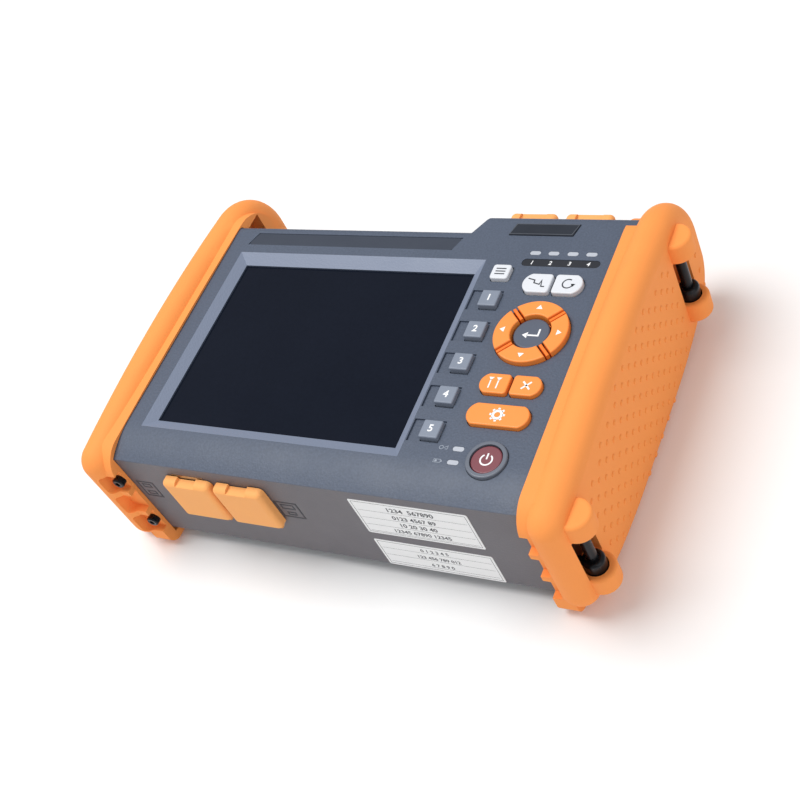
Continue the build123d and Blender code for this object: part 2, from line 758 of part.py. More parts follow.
def build_bumper(side):
    """One bumper: full-round rim, inner band, end pockets, strap lugs and room for the casing."""
    inner = side * bumper_inner_x
    outer = side * bumper_outer_x
    rim_inner = outer - side * 2.02 * rim_radius
    half_z = bumper_crest_z / 2
    pocket_outer_x = left_pocket_outer_x if side < 0 else right_pocket_outer_x
    pocket_inner_x = bumper_inner_x - 2 * pocket_corner
    drop = lug_drop(side)
    with BuildPart() as bumper:
        with BuildSketch(Plane.YZ.offset(rim_inner)) as rim:
            rim_outline()
            for end, radius in ((0, rim_bottom_corner), (-1, rim_top_corner)):
                front = rim.vertices().filter_by_position(Axis.Y, half_z, bumper_crest_z)
                fillet(front.sort_by(Axis.X)[end], radius)
            for end, radius in ((0, rim_back_corner), (-1, rim_top_back_corner)):
                back = rim.vertices().filter_by_position(Axis.Y, rest_level + 1, half_z)
                fillet(back.sort_by(Axis.X)[end], radius)
        extrude(amount=outer - rim_inner)
        for face_x in (rim_inner, outer):
            fillet(bumper.edges().filter_by_position(Axis.X, face_x - 0.01, face_x + 0.01), rim_radius)
        # Inner band, which laps over the casing's front, ends and back
        with BuildSketch(Plane.YZ.offset(inner)) as band:
            band_outline()
            for end, radius in ((0, band_bottom_corner), (-1, band_top_corner)):
                front = band.vertices().filter_by_position(Axis.Y, half_z, bumper_crest_z)
                fillet(front.sort_by(Axis.X)[end], radius)
            back = band.vertices().filter_by_position(Axis.Y, 0, half_z)
            fillet(back, band_bottom_corner / 2)
        extrude(amount=rim_inner + side * band_overlap - inner)
        # Lobes of the strap lugs
        for row in lug_rows:
            add(lug_lobe(side, row, lug_back_z, lug_slot_bottom_z))
            add(lug_lobe(side, row, lug_slot_top_z, lug_front_z))
        # Room for the casing and for the ports above its top face
        add(casing_solid(-fit_gap, casing_back_z - fit_gap, panel_z + 1, shell_edge_radius), mode=Mode.SUBTRACT)
        slab(
            0, side * (casing_half_width + fit_gap), 0, end_wall_inner_y,
            casing_back_z - fit_gap, band_arm_z, Mode.SUBTRACT,
        )
        # Three pockets in the bottom end
        for low_z, high_z in pocket_spans:
            with BuildSketch(Plane.XZ.offset(-pocket_floor_y)) as pocket:
                with Locations((side * (pocket_outer_x + pocket_inner_x) / 2, (low_z + high_z) / 2)):
                    RectangleRounded(pocket_outer_x - pocket_inner_x, high_z - low_z, pocket_corner)
            extrude(amount=bumper_half_length + pocket_floor_y + 1, mode=Mode.SUBTRACT)
        # Strap slots behind the pins, the cup at the back lobe and the pin's two seats
        for row in lug_rows:
            slab(
                side * (bumper_outer_x - slot_depth), side * (bumper_outer_x + slot_depth),
                row - lug_radius, row + lug_radius, lug_slot_bottom_z - drop, lug_slot_top_z - drop, Mode.SUBTRACT,
            )
        with BuildSketch(Plane.XY.offset(lug_cup_floor_z - drop)) as cups:
            with Locations(*[(side * strap_pin_x, row) for row in lug_rows]):
                Circle(lug_cup_radius)
        extrude(amount=lug_slot_bottom_z - lug_cup_floor_z, mode=Mode.SUBTRACT)
        with BuildSketch(Plane.XY.offset(lug_cup_floor_z - pin_seat_depth - drop)) as seats:
            with Locations(*[(side * strap_pin_x, row) for row in lug_rows]):
                Circle(strap_pin_radius + pin_gap)
        extrude(amount=lug_slot_top_z + 3 * pin_seat_depth - lug_cup_floor_z, mode=Mode.SUBTRACT)
        # Bores for the screws of the left one's bottom end, and of the back
        if side < 0:
            with BuildSketch(facing_down_y(side * bumper_screw_x, casing_bottom_y, 0)) as end_bores:
                with Locations(*[(0, row) for row in bumper_screw_rows]):
                    Circle(bumper_screw_radius + screw_gap)
            extrude(amount=casing_bottom_y - pocket_floor_y + 1, mode=Mode.SUBTRACT)
        with BuildSketch(at(side * back_screw_x, 0, band_back_z - 1)) as back_bores:
            with Locations(*[(0, row) for row in back_screw_rows]):
                Circle(bumper_screw_radius + screw_gap)
        extrude(amount=casing_back_z - band_back_z + 1, mode=Mode.SUBTRACT)
        with BuildSketch(at(side * back_screw_x, 0, band_back_z - 1)) as back_sinks:
            with Locations(*[(0, row) for row in back_screw_rows]):
                Circle(bumper_screw_head + screw_gap)
        extrude(amount=back_screw_head_depth + 1, mode=Mode.SUBTRACT)
    return bumper.part


for side, name in ((-1, "left_bumper"), (1, "right_bumper")):
    save(build_bumper(side), name)


# Strap pins: posts between the lobes of each lug, with a round foot in the cup and a plate on the slot's floor
with BuildPart() as strap_pin:
    Cylinder(
        strap_pin_radius, lug_slot_top_z + 3 * pin_seat_depth - lug_cup_floor_z,
        align=(Align.CENTER, Align.CENTER, Align.MIN),
    )
    chamfer(strap_pin.faces().filter_by(Axis.Z).edges(), pin_seat_depth / 8)
    with BuildSketch(Plane.XY.offset(pin_seat_depth)) as foot_plan:
        Circle(pin_foot_radius)
    extrude(amount=pin_foot_top_z - lug_cup_floor_z)
    foot_edges = strap_pin.edges().filter_by(GeomType.CIRCLE).filter_by(lambda edge: edge.radius > lug_radius / 2)
    fillet(foot_edges.sort_by(Axis.Z)[-1], pin_foot_radius / 3)
with BuildPart() as strap_pins:
    for side in (-1, 1):
        for row in lug_rows:
            seat_z = lug_cup_floor_z - pin_seat_depth - lug_drop(side)
            add(strap_pin.part.moved(Location((side * strap_pin_x, row, seat_z))))
            slot_floor_x = side * (bumper_outer_x - slot_depth)
            plate_low_z = lug_slot_bottom_z - lug_drop(side)
            plate_high_z = lug_slot_top_z - lug_drop(side)
            slab(
                slot_floor_x, slot_floor_x + side * pin_plate_thickness,
                row - pin_plate_half_width, row + pin_plate_half_width, plate_low_z, plate_high_z,
            )
            slab(
                slot_floor_x, side * strap_pin_x, row - strap_pin_radius / 2, row + strap_pin_radius / 2,
                plate_low_z, pin_foot_top_z - lug_drop(side) - pin_foot_radius / 2,
            )
save(strap_pins.part, "strap_pins")

# Screen glass under the lip, the display behind it and the sheet frame that holds both
with BuildPart() as screen_glass:
    slab(
        screen_x - glass_width / 2, screen_x + glass_width / 2,
        screen_y - glass_height / 2, screen_y + glass_height / 2, display_z, glass_z,
    )
    chamfer(screen_glass.edges().filter_by(Axis.Z), glass_overlap / 4)
save(screen_glass.part, "screen_glass")

with BuildPart() as display_panel:
    with BuildSketch(at(screen_x, screen_y, frame_z)) as display_plan:
        RectangleRounded(glass_width - 2 * display_inset, glass_height - 2 * display_inset, display_inset)
    extrude(amount=display_thickness)
save(display_panel.part, "display_panel")

with BuildPart() as display_frame:
    with BuildSketch(at(screen_x, screen_y, frame_z - frame_thickness)) as frame_plan:
        Rectangle(glass_width, glass_height)
        with GridLocations(glass_width / 2, glass_height / 2, 2, 2):
            RectangleRounded(glass_width / 2 - 4 * frame_ear, glass_height / 2 - 4 * frame_ear, frame_ear, mode=Mode.SUBTRACT)
        with GridLocations(glass_width + 2 * frame_ear, glass_height - 2 * frame_ear, 2, 2):
            Circle(frame_ear)
        with GridLocations(glass_width + frame_ear, glass_height - 2 * frame_ear, 2, 2):
            Rectangle(frame_ear, 2 * frame_ear)
        with GridLocations(glass_width + 2 * frame_ear, glass_height - 2 * frame_ear, 2, 2):
            Circle(shell_screw_radius / 2, mode=Mode.SUBTRACT)
    extrude(amount=frame_thickness)
save(display_frame.part, "display_frame")


def key_cap(outline, top_z):
    """A key: flange under the shell, shank through the hole and a soft top edge."""
    with BuildPart() as key:
        with BuildSketch(Plane.XY.offset(key_flange_z - key_flange_thickness)) as flange_plan:
            outline(key_flange)
        extrude(amount=key_flange_thickness)
        with BuildSketch(Plane.XY.offset(key_flange_z)) as shank_plan:
            outline(0)
        extrude(amount=top_z - key_flange_z)
        fillet(key.faces().sort_by(Axis.Z)[-1].edges(), key_edge_radius)
    return key.part


for name in plain_keys:
    save(key_cap(lambda grow, name=name: key_outline(name, grow), panel_z + key_rise), name)

save(
    key_cap(lambda grow: Circle(enter_radius + grow / 2), panel_z + key_rise - enter_drop).moved(
        Location((ring_x, ring_y, 0))
    ),
    "key_enter",
)


def arrow_sector(grow):
    """Quarter of the arrow ring, cut back from the diagonals by a rib and its groove."""
    reach = ring_outer_radius + 2
    offset_from_diagonal = (ring_rib / 2 + ring_groove) * math.sqrt(2)
    Circle(ring_outer_radius + grow)
    Circle(ring_inner_radius - grow, mode=Mode.SUBTRACT)
    with BuildLine() as wedge:
        Polyline((0, offset_from_diagonal), (reach, reach + offset_from_diagonal),
                 (-reach, reach + offset_from_diagonal), close=True)
    make_face(wedge.edges(), mode=Mode.INTERSECT)


# Four arrow keys, a quarter turn apart
for index, name in enumerate(("key_up", "key_left", "key_down", "key_right")):
    with BuildPart() as arrow_key:
        with BuildSketch(Plane.XY.offset(key_flange_z - key_flange_thickness)) as sector_flange:
            arrow_sector(key_flange)
        extrude(amount=key_flange_thickness)
        with BuildSketch(Plane.XY.offset(key_flange_z)) as sector_plan:
            arrow_sector(0)
        extrude(amount=panel_z + key_rise + ring_crown - key_flange_z)
        fillet(arrow_key.faces().sort_by(Axis.Z)[-1].edges(), key_edge_radius)
    save(arrow_key.part.moved(Location((ring_x, ring_y, 0), (0, 0, 90 * index))), name)

# Silicone mat under the keys; its four ribs stand between the arrow keys
with BuildPart() as key_mat:
    mat_x = (key_board_left_x + key_board_right_x) / 2
    mat_y = (key_board_bottom_y + key_board_top_y) / 2
    mat_width = key_board_right_x - key_board_left_x
    mat_length = key_board_top_y - key_board_bottom_y
    with BuildSketch(at(mat_x, mat_y, key_board_z)) as mat_plan:
        Rectangle(mat_width, mat_length)
        with GridLocations(mat_width, mat_length, 2, 2):
            Rectangle(4 * board_post_inset, 4 * board_post_inset, mode=Mode.SUBTRACT)
    extrude(amount=key_mat_thickness)
    with BuildSketch(at(ring_x, ring_y, key_board_z)) as rib_plan:
        with PolarLocations((ring_inner_radius + ring_outer_radius) / 2, 4, start_angle=45):
            Rectangle(ring_outer_radius - ring_inner_radius, ring_rib)
    extrude(amount=panel_z + key_rise - key_board_z)
    rib_tops = key_mat.faces().filter_by(Axis.Z).filter_by_position(Axis.Z, panel_z, panel_z + 2 * key_rise)
    fillet(rib_tops.edges(), ring_rib / 4)
save(key_mat.part, "key_mat")

# Key board with a switch dome under each key
with BuildPart() as key_board:
    slab(
        key_board_left_x, key_board_right_x, key_board_bottom_y, key_board_top_y,
        key_board_z - key_board_thickness, key_board_z,
    )
save(key_board.part, "key_board")

# Ring round the power button, with its neck through the panel
with BuildPart() as power_ring:
    with BuildSketch(at(power_x, power_y, panel_z - power_neck_seat)) as ring_plan:
        Circle(power_ring_radius)
    extrude(amount=power_neck_seat + power_ring_rise)
    fillet(power_ring.faces().sort_by(Axis.Z)[-1].edges(), key_edge_radius)
    with BuildSketch(at(power_x, power_y, shell_inner_z)) as neck_plan:
        Circle(power_neck_radius)
    extrude(amount=shell_wall - power_neck_seat)
    with BuildSketch(at(power_x, power_y, shell_inner_z)) as power_bore:
        Circle(power_radius + key_gap)
    extrude(amount=shell_wall + power_ring_rise + 1, mode=Mode.SUBTRACT)
save(power_ring.part, "power_ring")

save(
    key_cap(lambda grow: Circle(power_radius + grow / 2), panel_z + power_ring_rise - power_drop).moved(
        Location((power_x, power_y, 0))
    ),
    "power_button",
)

# Lamps: light pipes from the key board to the panel
with BuildPart() as status_lamps:
    with BuildSketch(Plane.XY.offset(key_mat_z + key_travel)) as lamp_plan:
        lamp_outline()
    extrude(amount=panel_z - key_mat_z - key_travel)
save(status_lamps.part, "status_lamps")

# Inlaid strips
with BuildPart() as lamp_strip:
    with BuildSketch(at(lamp_strip_x, lamp_strip_y, panel_z - inlay_depth)) as strip_plan:
        SlotOverall(lamp_strip_length - 2 * inlay_gap, lamp_strip_height - 2 * inlay_gap)
    extrude(amount=inlay_depth - inlay_gap)
save(lamp_strip.part, "lamp_strip")

with BuildPart() as title_strip:
    with BuildSketch(Plane.XY.offset(panel_z - inlay_depth)) as title_plan:
        title_outline(inlay_gap)
        fillet(title_plan.vertices(), key_corner)
    extrude(amount=inlay_depth - inlay_gap)
save(title_strip.part, "title_strip")

with BuildPart() as badge_plate:
    with BuildSketch(Plane.XY.offset(panel_z - inlay_depth)) as badge_plan:
        badge_outline(inlay_gap)
    extrude(amount=inlay_depth + badge_rise)
    chamfer(badge_plate.faces().sort_by(Axis.Z)[-1].edges(), badge_rise / 2)
save(badge_plate.part, "badge_plate")

# Main board on the rear shell's posts
with BuildPart() as main_board:
    slab(
        main_board_left_x, main_board_right_x, main_board_bottom_y, main_board_top_y,
        main_board_z, main_board_top_z,
    )
    with BuildSketch(Plane.XY.offset(main_board_top_z)) as chips:
        with Locations((main_board_left_x / 2, 0)):
            with GridLocations(chip_spacing, chip_spacing, 2, 2):
                Rectangle(chip_size, chip_size)
    extrude(amount=chip_height)
save(main_board.part, "main_board")

# Optical engine and the coil of fibre on top of it
with BuildPart() as optical_engine:
    with BuildSketch(at(module_x, module_y, module_z)) as engine_plan:
        RectangleRounded(module_width, module_length, shell_wall)
    extrude(amount=module_height)
    with BuildSketch(at(module_x, module_y, module_top_z)) as engine_lid_plan:
        with GridLocations(module_width / 6, module_length, 5, 1):
            Rectangle(module_width / 12, module_length - 4 * shell_wall)
    extrude(amount=-shell_wall / 2, mode=Mode.SUBTRACT)
save(optical_engine.part, "optical_engine")

with BuildPart() as fibre_coil:
    with BuildSketch(at(module_x, module_y, module_top_z)) as coil_plan:
        Circle(fibre_tray_radius)
        Circle(fibre_tray_core, mode=Mode.SUBTRACT)
    extrude(amount=fibre_tray_height)
    coil_rims = fibre_coil.edges().filter_by(GeomType.CIRCLE).group_by(Axis.Z)[-1]
    fillet(coil_rims, fibre_tray_height / 4)
save(fibre_coil.part, "fibre_coil")

# Battery pack: four round cells in a wrap, with its cover
with BuildPart() as battery_pack:
    battery_z = casing_back_z + cover_thickness + battery_cell_radius
    with BuildSketch(Plane((battery_x - battery_length / 2, battery_y, battery_z), x_dir=(0, 1, 0), z_dir=(1, 0, 0))) as wrap:
        SlotOverall(battery_width, 2 * battery_cell_radius)
    extrude(amount=battery_length)
save(battery_pack.part, "battery_pack")

with BuildPart() as battery_cover:
    with BuildSketch(at(battery_x, battery_y, casing_back_z)) as cover_plan:
        RectangleRounded(
            2 * (battery_half_length + cover_lip - cover_gap), 2 * (battery_half_width + cover_lip - cover_gap),
            cover_lip - cover_gap,
        )
    extrude(amount=cover_thickness)
save(battery_cover.part, "battery_cover")

# Tilt stand: a frame that folds into the back, with two short hinge pins
with BuildPart() as tilt_stand:
    stand_low_z = casing_back_z + stand_sink
    with BuildSketch(at(0, stand_hinge_y - stand_reach / 2, stand_low_z)) as stand_plan:
        Rectangle(2 * stand_half_width, stand_reach)
        fillet(stand_plan.vertices().group_by(Axis.Y)[0], stand_corner)
        with Locations((0, stand_foot)):
            Rectangle(2 * (stand_half_width - stand_arm), stand_reach, mode=Mode.SUBTRACT)
    extrude(amount=stand_thickness)
    with BuildSketch(Plane.YZ) as knuckles:
        with Locations((stand_hinge_y, stand_pin_z)):
            Circle(stand_thickness / 2)
    extrude(amount=stand_half_width, both=True)
    slab(
        -stand_half_width + stand_arm, stand_half_width - stand_arm,
        stand_hinge_y - stand_thickness, stand_hinge_y + stand_thickness,
        casing_back_z - 1, casing_back_z + 2 * stand_thickness, Mode.SUBTRACT,
    )
    with BuildSketch(Plane.YZ) as stand_bore:
        with Locations((stand_hinge_y, stand_pin_z)):
            Circle(stand_pin_radius + stand_pin_gap)
    extrude(amount=stand_half_width + 1, both=True, mode=Mode.SUBTRACT)
save(tilt_stand.part, "tilt_stand")

with BuildPart() as stand_pins:
    for side in (-1, 1):
        pin_x = side * (stand_half_width + stand_gap / 2) - stand_pin_length / 2
        with BuildSketch(Plane.YZ.offset(pin_x)) as stand_pin_plan:
            with Locations((stand_hinge_y, stand_pin_z)):
                Circle(stand_pin_radius)
        extrude(amount=stand_pin_length)
save(stand_pins.part, "stand_pins")


def socket_shell(outline, depth):
    """A socket body that ends flush with the bottom face."""
    with BuildSketch(facing_down_y(0, casing_bottom_y + depth, 0)) as body:
        outline()
    extrude(body.sketch, amount=depth)


def mouth(outline, depth):
    """The hollow of a socket, sunk from the bottom face."""
    with BuildSketch(facing_down_y(0, casing_bottom_y + depth, 0)) as hollow:
        outline()
    extrude(hollow.sketch, amount=depth, mode=Mode.SUBTRACT)


def rectangle_at(x, z, width, height):
    """A rectangle on the bottom face."""
    with Locations((x, z)):
        Rectangle(width, height)


def circle_at(x, z, radius):
    """A circle on the bottom face."""
    with Locations((x, z)):
        Circle(radius)


# Sockets behind the bottom covers
with BuildPart() as network_socket:
    lan_z = main_board_top_z + lan_height / 2
    socket_shell(lambda: rectangle_at(lan_x, lan_z, lan_width, lan_height), lan_depth)
    mouth(lambda: rectangle_at(lan_x, lan_z, lan_mouth_width, lan_mouth_height), lan_mouth_depth)
save(network_socket.part, "network_socket")

with BuildPart() as power_socket:
    socket_shell(lambda: circle_at(dc_x, dc_z, dc_radius), dc_depth)
    with BuildSketch(facing_down_y(0, casing_bottom_y + dc_depth + dc_body / 2, 0)) as dc_block:
        rectangle_at(dc_x, dc_z, dc_body, dc_body)
    extrude(dc_block.sketch, amount=dc_body)
    mouth(lambda: circle_at(dc_x, dc_z, dc_bore_radius), dc_body)
    socket_shell(lambda: circle_at(dc_x, dc_z, dc_pin_radius), dc_body)
save(power_socket.part, "power_socket")

with BuildPart() as data_socket:
    usb_z = main_board_top_z + usb_height / 2
    socket_shell(lambda: rectangle_at(usb_x, usb_z, usb_width, usb_height), usb_depth)
    mouth(lambda: rectangle_at(usb_x, usb_z, usb_mouth_width, usb_mouth_height), usb_mouth_depth)
    tongue_z = usb_z + usb_mouth_height / 2 - usb_tongue_thickness / 2
    mouth_depth = usb_mouth_depth
    with BuildSketch(facing_down_y(0, casing_bottom_y + mouth_depth, 0)) as tongue_plan:
        rectangle_at(usb_x, tongue_z, usb_mouth_width, usb_tongue_thickness)
    extrude(tongue_plan.sketch, amount=mouth_depth - usb_tongue_thickness)
save(data_socket.part, "data_socket")

with BuildPart() as small_data_socket:
    socket_shell(lambda: rectangle_at(usb_x, mini_usb_z, mini_usb_width, mini_usb_height), mini_usb_depth)
    mouth(
        lambda: rectangle_at(
            usb_x, mini_usb_z, mini_usb_width - 2 * mini_usb_mouth, mini_usb_height - 2 * mini_usb_mouth
        ),
        mini_usb_depth / 2,
    )
save(small_data_socket.part, "small_data_socket")

# Optical adapters: flange on the top face, bored barrel outside, body through the wall
for (x, z, flange, barrel), name in zip(adapters, ("test_adapter", "fault_light_adapter", "power_meter_adapter")):
    with BuildPart() as adapter:
        with BuildSketch(facing_up_y(x, casing_top_high_y, z)) as flange_plan:
            RectangleRounded(flange, flange, shell_wall / 2)
        extrude(amount=adapter_flange_thickness)
        with BuildSketch(facing_up_y(x, casing_top_high_y + adapter_flange_thickness, z)) as barrel_plan:
            Circle(barrel)
        extrude(amount=adapter_barrel_length)
        with BuildSketch(facing_up_y(x, casing_top_high_y - adapter_body_length, z)) as body_plan:
            Circle(adapter_body_radius)
        extrude(amount=adapter_body_length)
        chamfer(adapter.faces().sort_by(Axis.Y)[-1].edges(), adapter_bore_radius / 4)
        with BuildSketch(
            facing_up_y(x, casing_top_high_y + adapter_flange_thickness + adapter_barrel_length - adapter_bore_depth, z)
        ) as bore_plan:
            Circle(adapter_bore_radius)
        extrude(amount=adapter_bore_depth, mode=Mode.SUBTRACT)
    save(adapter.part, name)


def rubber_cover(centre_x, face_y, way, width, top_z, depth, notch_width):
    """A hollow rubber cover with a finger notch at its top and a hinge bead along its foot."""
    plane = facing_down_y if way < 0 else facing_up_y
    seat_y = face_y + way * cover_seat_gap
    height = top_z - cover_foot_z
    bead_y = face_y + way * (cover_seat_gap + cover_bead_radius)
    with BuildPart() as cover:
        with BuildSketch(plane(centre_x, seat_y, (top_z + cover_foot_z) / 2)) as block:
            RectangleRounded(width, height, cover_edge_radius)
        extrude(amount=depth - cover_seat_gap)
        outer_face = cover.faces().sort_by(Axis.Y)[0 if way < 0 else -1]
        fillet(outer_face.edges(), cover_edge_radius)
        with BuildSketch(plane(centre_x, seat_y, (top_z + cover_foot_z) / 2)) as hollow:
            Rectangle(width - 2 * cover_wall, height - 2 * cover_wall)
        extrude(amount=depth - cover_seat_gap - cover_wall, mode=Mode.SUBTRACT)
        with BuildSketch(plane(centre_x, seat_y, top_z)) as notch:
            Rectangle(notch_width, 2 * cover_notch_depth)
        extrude(amount=depth, mode=Mode.SUBTRACT)
        with BuildSketch(Plane.YZ.offset(centre_x - width / 2 + cover_edge_radius)) as bead:
            with Locations((bead_y, parting_z)):
                Circle(cover_bead_radius)
            with Locations((bead_y + way * cover_bead_radius / 2, parting_z + cover_bead_radius)):
                Rectangle(cover_bead_radius, 2 * cover_bead_radius)
        extrude(amount=width - 2 * cover_edge_radius)
    return cover.part


cover_sets = (
    (port_cover_places, casing_bottom_y, -1, port_cover_width, port_cover_top_z, port_cover_depth,
     port_cover_notch, ("network_cover", "data_cover")),
    (optic_cover_places, casing_top_high_y, 1, optic_cover_width, optic_cover_top_z, optic_cover_depth,
     optic_cover_notch, ("test_port_cover", "meter_port_cover")),
)
for places, face_y, way, width, top_z, depth, notch_width, names in cover_sets:
    for x, name in zip(places, names):
        save(rubber_cover(x, face_y, way, width, top_z, depth, notch_width), name)

# Tongues of the covers, clamped between the two shells and hollowed round the beads
with BuildPart() as cover_tongues:
    for places, face_y, way, *_ in cover_sets:
        for x in places:
            slab(
                x - tongue_width / 2 + tongue_gap, x + tongue_width / 2 - tongue_gap,
                face_y - way * shell_wall, face_y + way * (cover_seat_gap + cover_bead_radius),
                parting_z - tongue_thickness / 2 + tongue_gap / 4, parting_z + tongue_thickness / 2 - tongue_gap / 4,
            )
            with BuildSketch(Plane.YZ.offset(x)) as bead_room:
                with Locations((face_y + way * (cover_seat_gap + cover_bead_radius), parting_z)):
                    Circle(cover_bead_radius + tongue_gap)
            extrude(bead_room.sketch, amount=tongue_width / 2, both=True, mode=Mode.SUBTRACT)
save(cover_tongues.part, "cover_tongues")


def round_head_screw(head_radius, head_height, shank_radius, length, socket):
    """A screw along +Z: head below the origin plane, shank above it, hexagon socket in the head."""
    with BuildPart() as screw:
        with BuildSketch(Plane.XY.offset(-head_height)) as head:
            Circle(head_radius)
        extrude(amount=head_height)
        chamfer(screw.edges().group_by(Axis.Z)[0], head_height / 6)
        with BuildSketch() as shank:
            Circle(shank_radius)
        extrude(amount=length)
        with BuildSketch(Plane.XY.offset(-head_height)) as socket_plan:
            RegularPolygon(socket, 6)
        extrude(amount=head_height / 2, mode=Mode.SUBTRACT)
    return screw.part


bumper_screw = round_head_screw(
    bumper_screw_head, bumper_screw_head_height, bumper_screw_radius, bumper_screw_length, bumper_screw_head / 2
)
with BuildPart() as bumper_screws:
    for row in bumper_screw_rows:
        add(bumper_screw.moved(Location((-bumper_screw_x, pocket_floor_y, row), (-90, 0, 0))))
save(bumper_screws.part, "bumper_screws")

back_screw_seat_z = band_back_z + back_screw_head_depth
back_screw = round_head_screw(
    bumper_screw_head, bumper_screw_head_height - 2 * screw_gap, bumper_screw_radius,
    bumper_screw_length, bumper_screw_head / 2
)
with BuildPart() as back_screws:
    for side in (-1, 1):
        for row in back_screw_rows:
            add(back_screw.moved(Location((side * back_screw_x, row, back_screw_seat_z))))
save(back_screws.part, "back_screws")

shell_screw = round_head_screw(
    shell_screw_head, shell_screw_head_height, shell_screw_radius, shell_screw_reach, shell_screw_head / 2
)
with BuildPart() as shell_screws:
    for side in (-1, 1):
        for row in screw_post_rows:
            add(shell_screw.moved(
                Location((side * screw_post_x, row, casing_back_z + shell_screw_head_height + screw_gap))
            ))
save(shell_screws.part, "shell_screws")
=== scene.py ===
"""Looks of a hand-held optical time domain reflectometer.

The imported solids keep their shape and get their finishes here. The small things that are printed,
moulded or stuck on (numerals, icons, raised dots, labels, the badge's rim) are built on top of them.
"""
import json
import logging
import math
from dataclasses import dataclass, field
from enum import Enum
from typing import Iterable, Sequence

import bmesh
import bpy
from mathutils import Matrix, Vector


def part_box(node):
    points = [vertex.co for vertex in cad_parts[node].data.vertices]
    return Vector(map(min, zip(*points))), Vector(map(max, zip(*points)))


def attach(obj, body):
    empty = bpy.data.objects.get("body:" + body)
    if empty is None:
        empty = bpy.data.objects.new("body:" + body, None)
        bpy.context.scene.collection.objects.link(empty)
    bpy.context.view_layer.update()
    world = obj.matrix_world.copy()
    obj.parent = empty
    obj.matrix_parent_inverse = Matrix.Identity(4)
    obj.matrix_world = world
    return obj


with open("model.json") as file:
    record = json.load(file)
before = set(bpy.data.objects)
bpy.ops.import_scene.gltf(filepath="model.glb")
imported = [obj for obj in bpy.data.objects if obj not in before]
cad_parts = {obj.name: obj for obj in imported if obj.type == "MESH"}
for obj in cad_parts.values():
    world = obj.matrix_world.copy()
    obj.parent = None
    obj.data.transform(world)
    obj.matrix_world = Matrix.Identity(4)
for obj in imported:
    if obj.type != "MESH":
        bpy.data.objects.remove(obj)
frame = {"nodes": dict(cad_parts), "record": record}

log = logging.getLogger("reflectometer")
logging.basicConfig(level=logging.INFO, format="%(message)s")

MM = 0.001
WELD_MM = 1e-4
FONT_SIZE_PER_FIGURE = 1.42
SENSOR_MM = 36.0
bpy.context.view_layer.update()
Point = tuple[float, float]


def linear(colour: str) -> tuple[float, float, float, float]:
    """Turns an sRGB hex colour into linear light.

    Args:
        colour: The colour as "#rrggbb".

    Returns:
        Red, green, blue and an alpha of 1.
    """
    channels = [int(colour[place:place + 2], 16) / 255 for place in (1, 3, 5)]
    return tuple(c / 12.92 if c <= 0.04045 else ((c + 0.055) / 1.055) ** 2.4 for c in channels) + (1.0,)


def add_node(tree: bpy.types.NodeTree, kind: str, settings: dict | None = None,
             inputs: dict | None = None) -> bpy.types.Node:
    """Adds one node with its settings, values and links.

    Args:
        tree: The tree that gets the node.
        kind: The node's type name.
        settings: The node's own properties.
        inputs: Input names or numbers, each with a value or with the output socket that feeds it.

    Returns:
        The node.
    """
    node = tree.nodes.new(kind)
    for name, value in (settings or {}).items():
        setattr(node, name, value)
    for name, value in (inputs or {}).items():
        if isinstance(value, bpy.types.NodeSocket):
            tree.links.new(value, node.inputs[name])
        else:
            node.inputs[name].default_value = value
    return node


class Grain(Enum):
    """How a surface was made, which decides the pattern of its fine relief."""

    SPARK = "spark-eroded mould"
    MATT = "sand-blasted mould"
    SATIN = "sprayed satin coat"
    BRUSHED = "brushed or drawn metal"
    FILM = "printed film"
    WOUND = "wound fibre"


@dataclass(frozen=True)
class Patch:
    """A box within a piece, in millimetres, whose surface gets another tone; it serves a paler part of the
    mould and a painted reflection.
    """

    low: tuple[float, float, float]
    high: tuple[float, float, float]
    colour: str

    def mask(self, tree: bpy.types.NodeTree, place: bpy.types.NodeSocket) -> bpy.types.NodeSocket:
        """Builds a value that is 1 inside the box and 0 outside.

        Args:
            tree: The material's tree.
            place: The position on the piece, in metres.

        Returns:
            The socket that carries the value.
        """
        spot = add_node(tree, "ShaderNodeSeparateXYZ", {}, {0: place})
        inside = None
        for axis in range(3):
            middle = (self.low[axis] + self.high[axis]) / 2 * MM
            reach = (self.high[axis] - self.low[axis]) / 2 * MM
            near = add_node(tree, "ShaderNodeMath", {"operation": "COMPARE"},
                            {0: spot.outputs[axis], 1: middle, 2: reach}).outputs[0]
            inside = near if inside is None else add_node(
                tree, "ShaderNodeMath", {"operation": "MULTIPLY"}, {0: inside, 1: near}).outputs[0]
        return inside


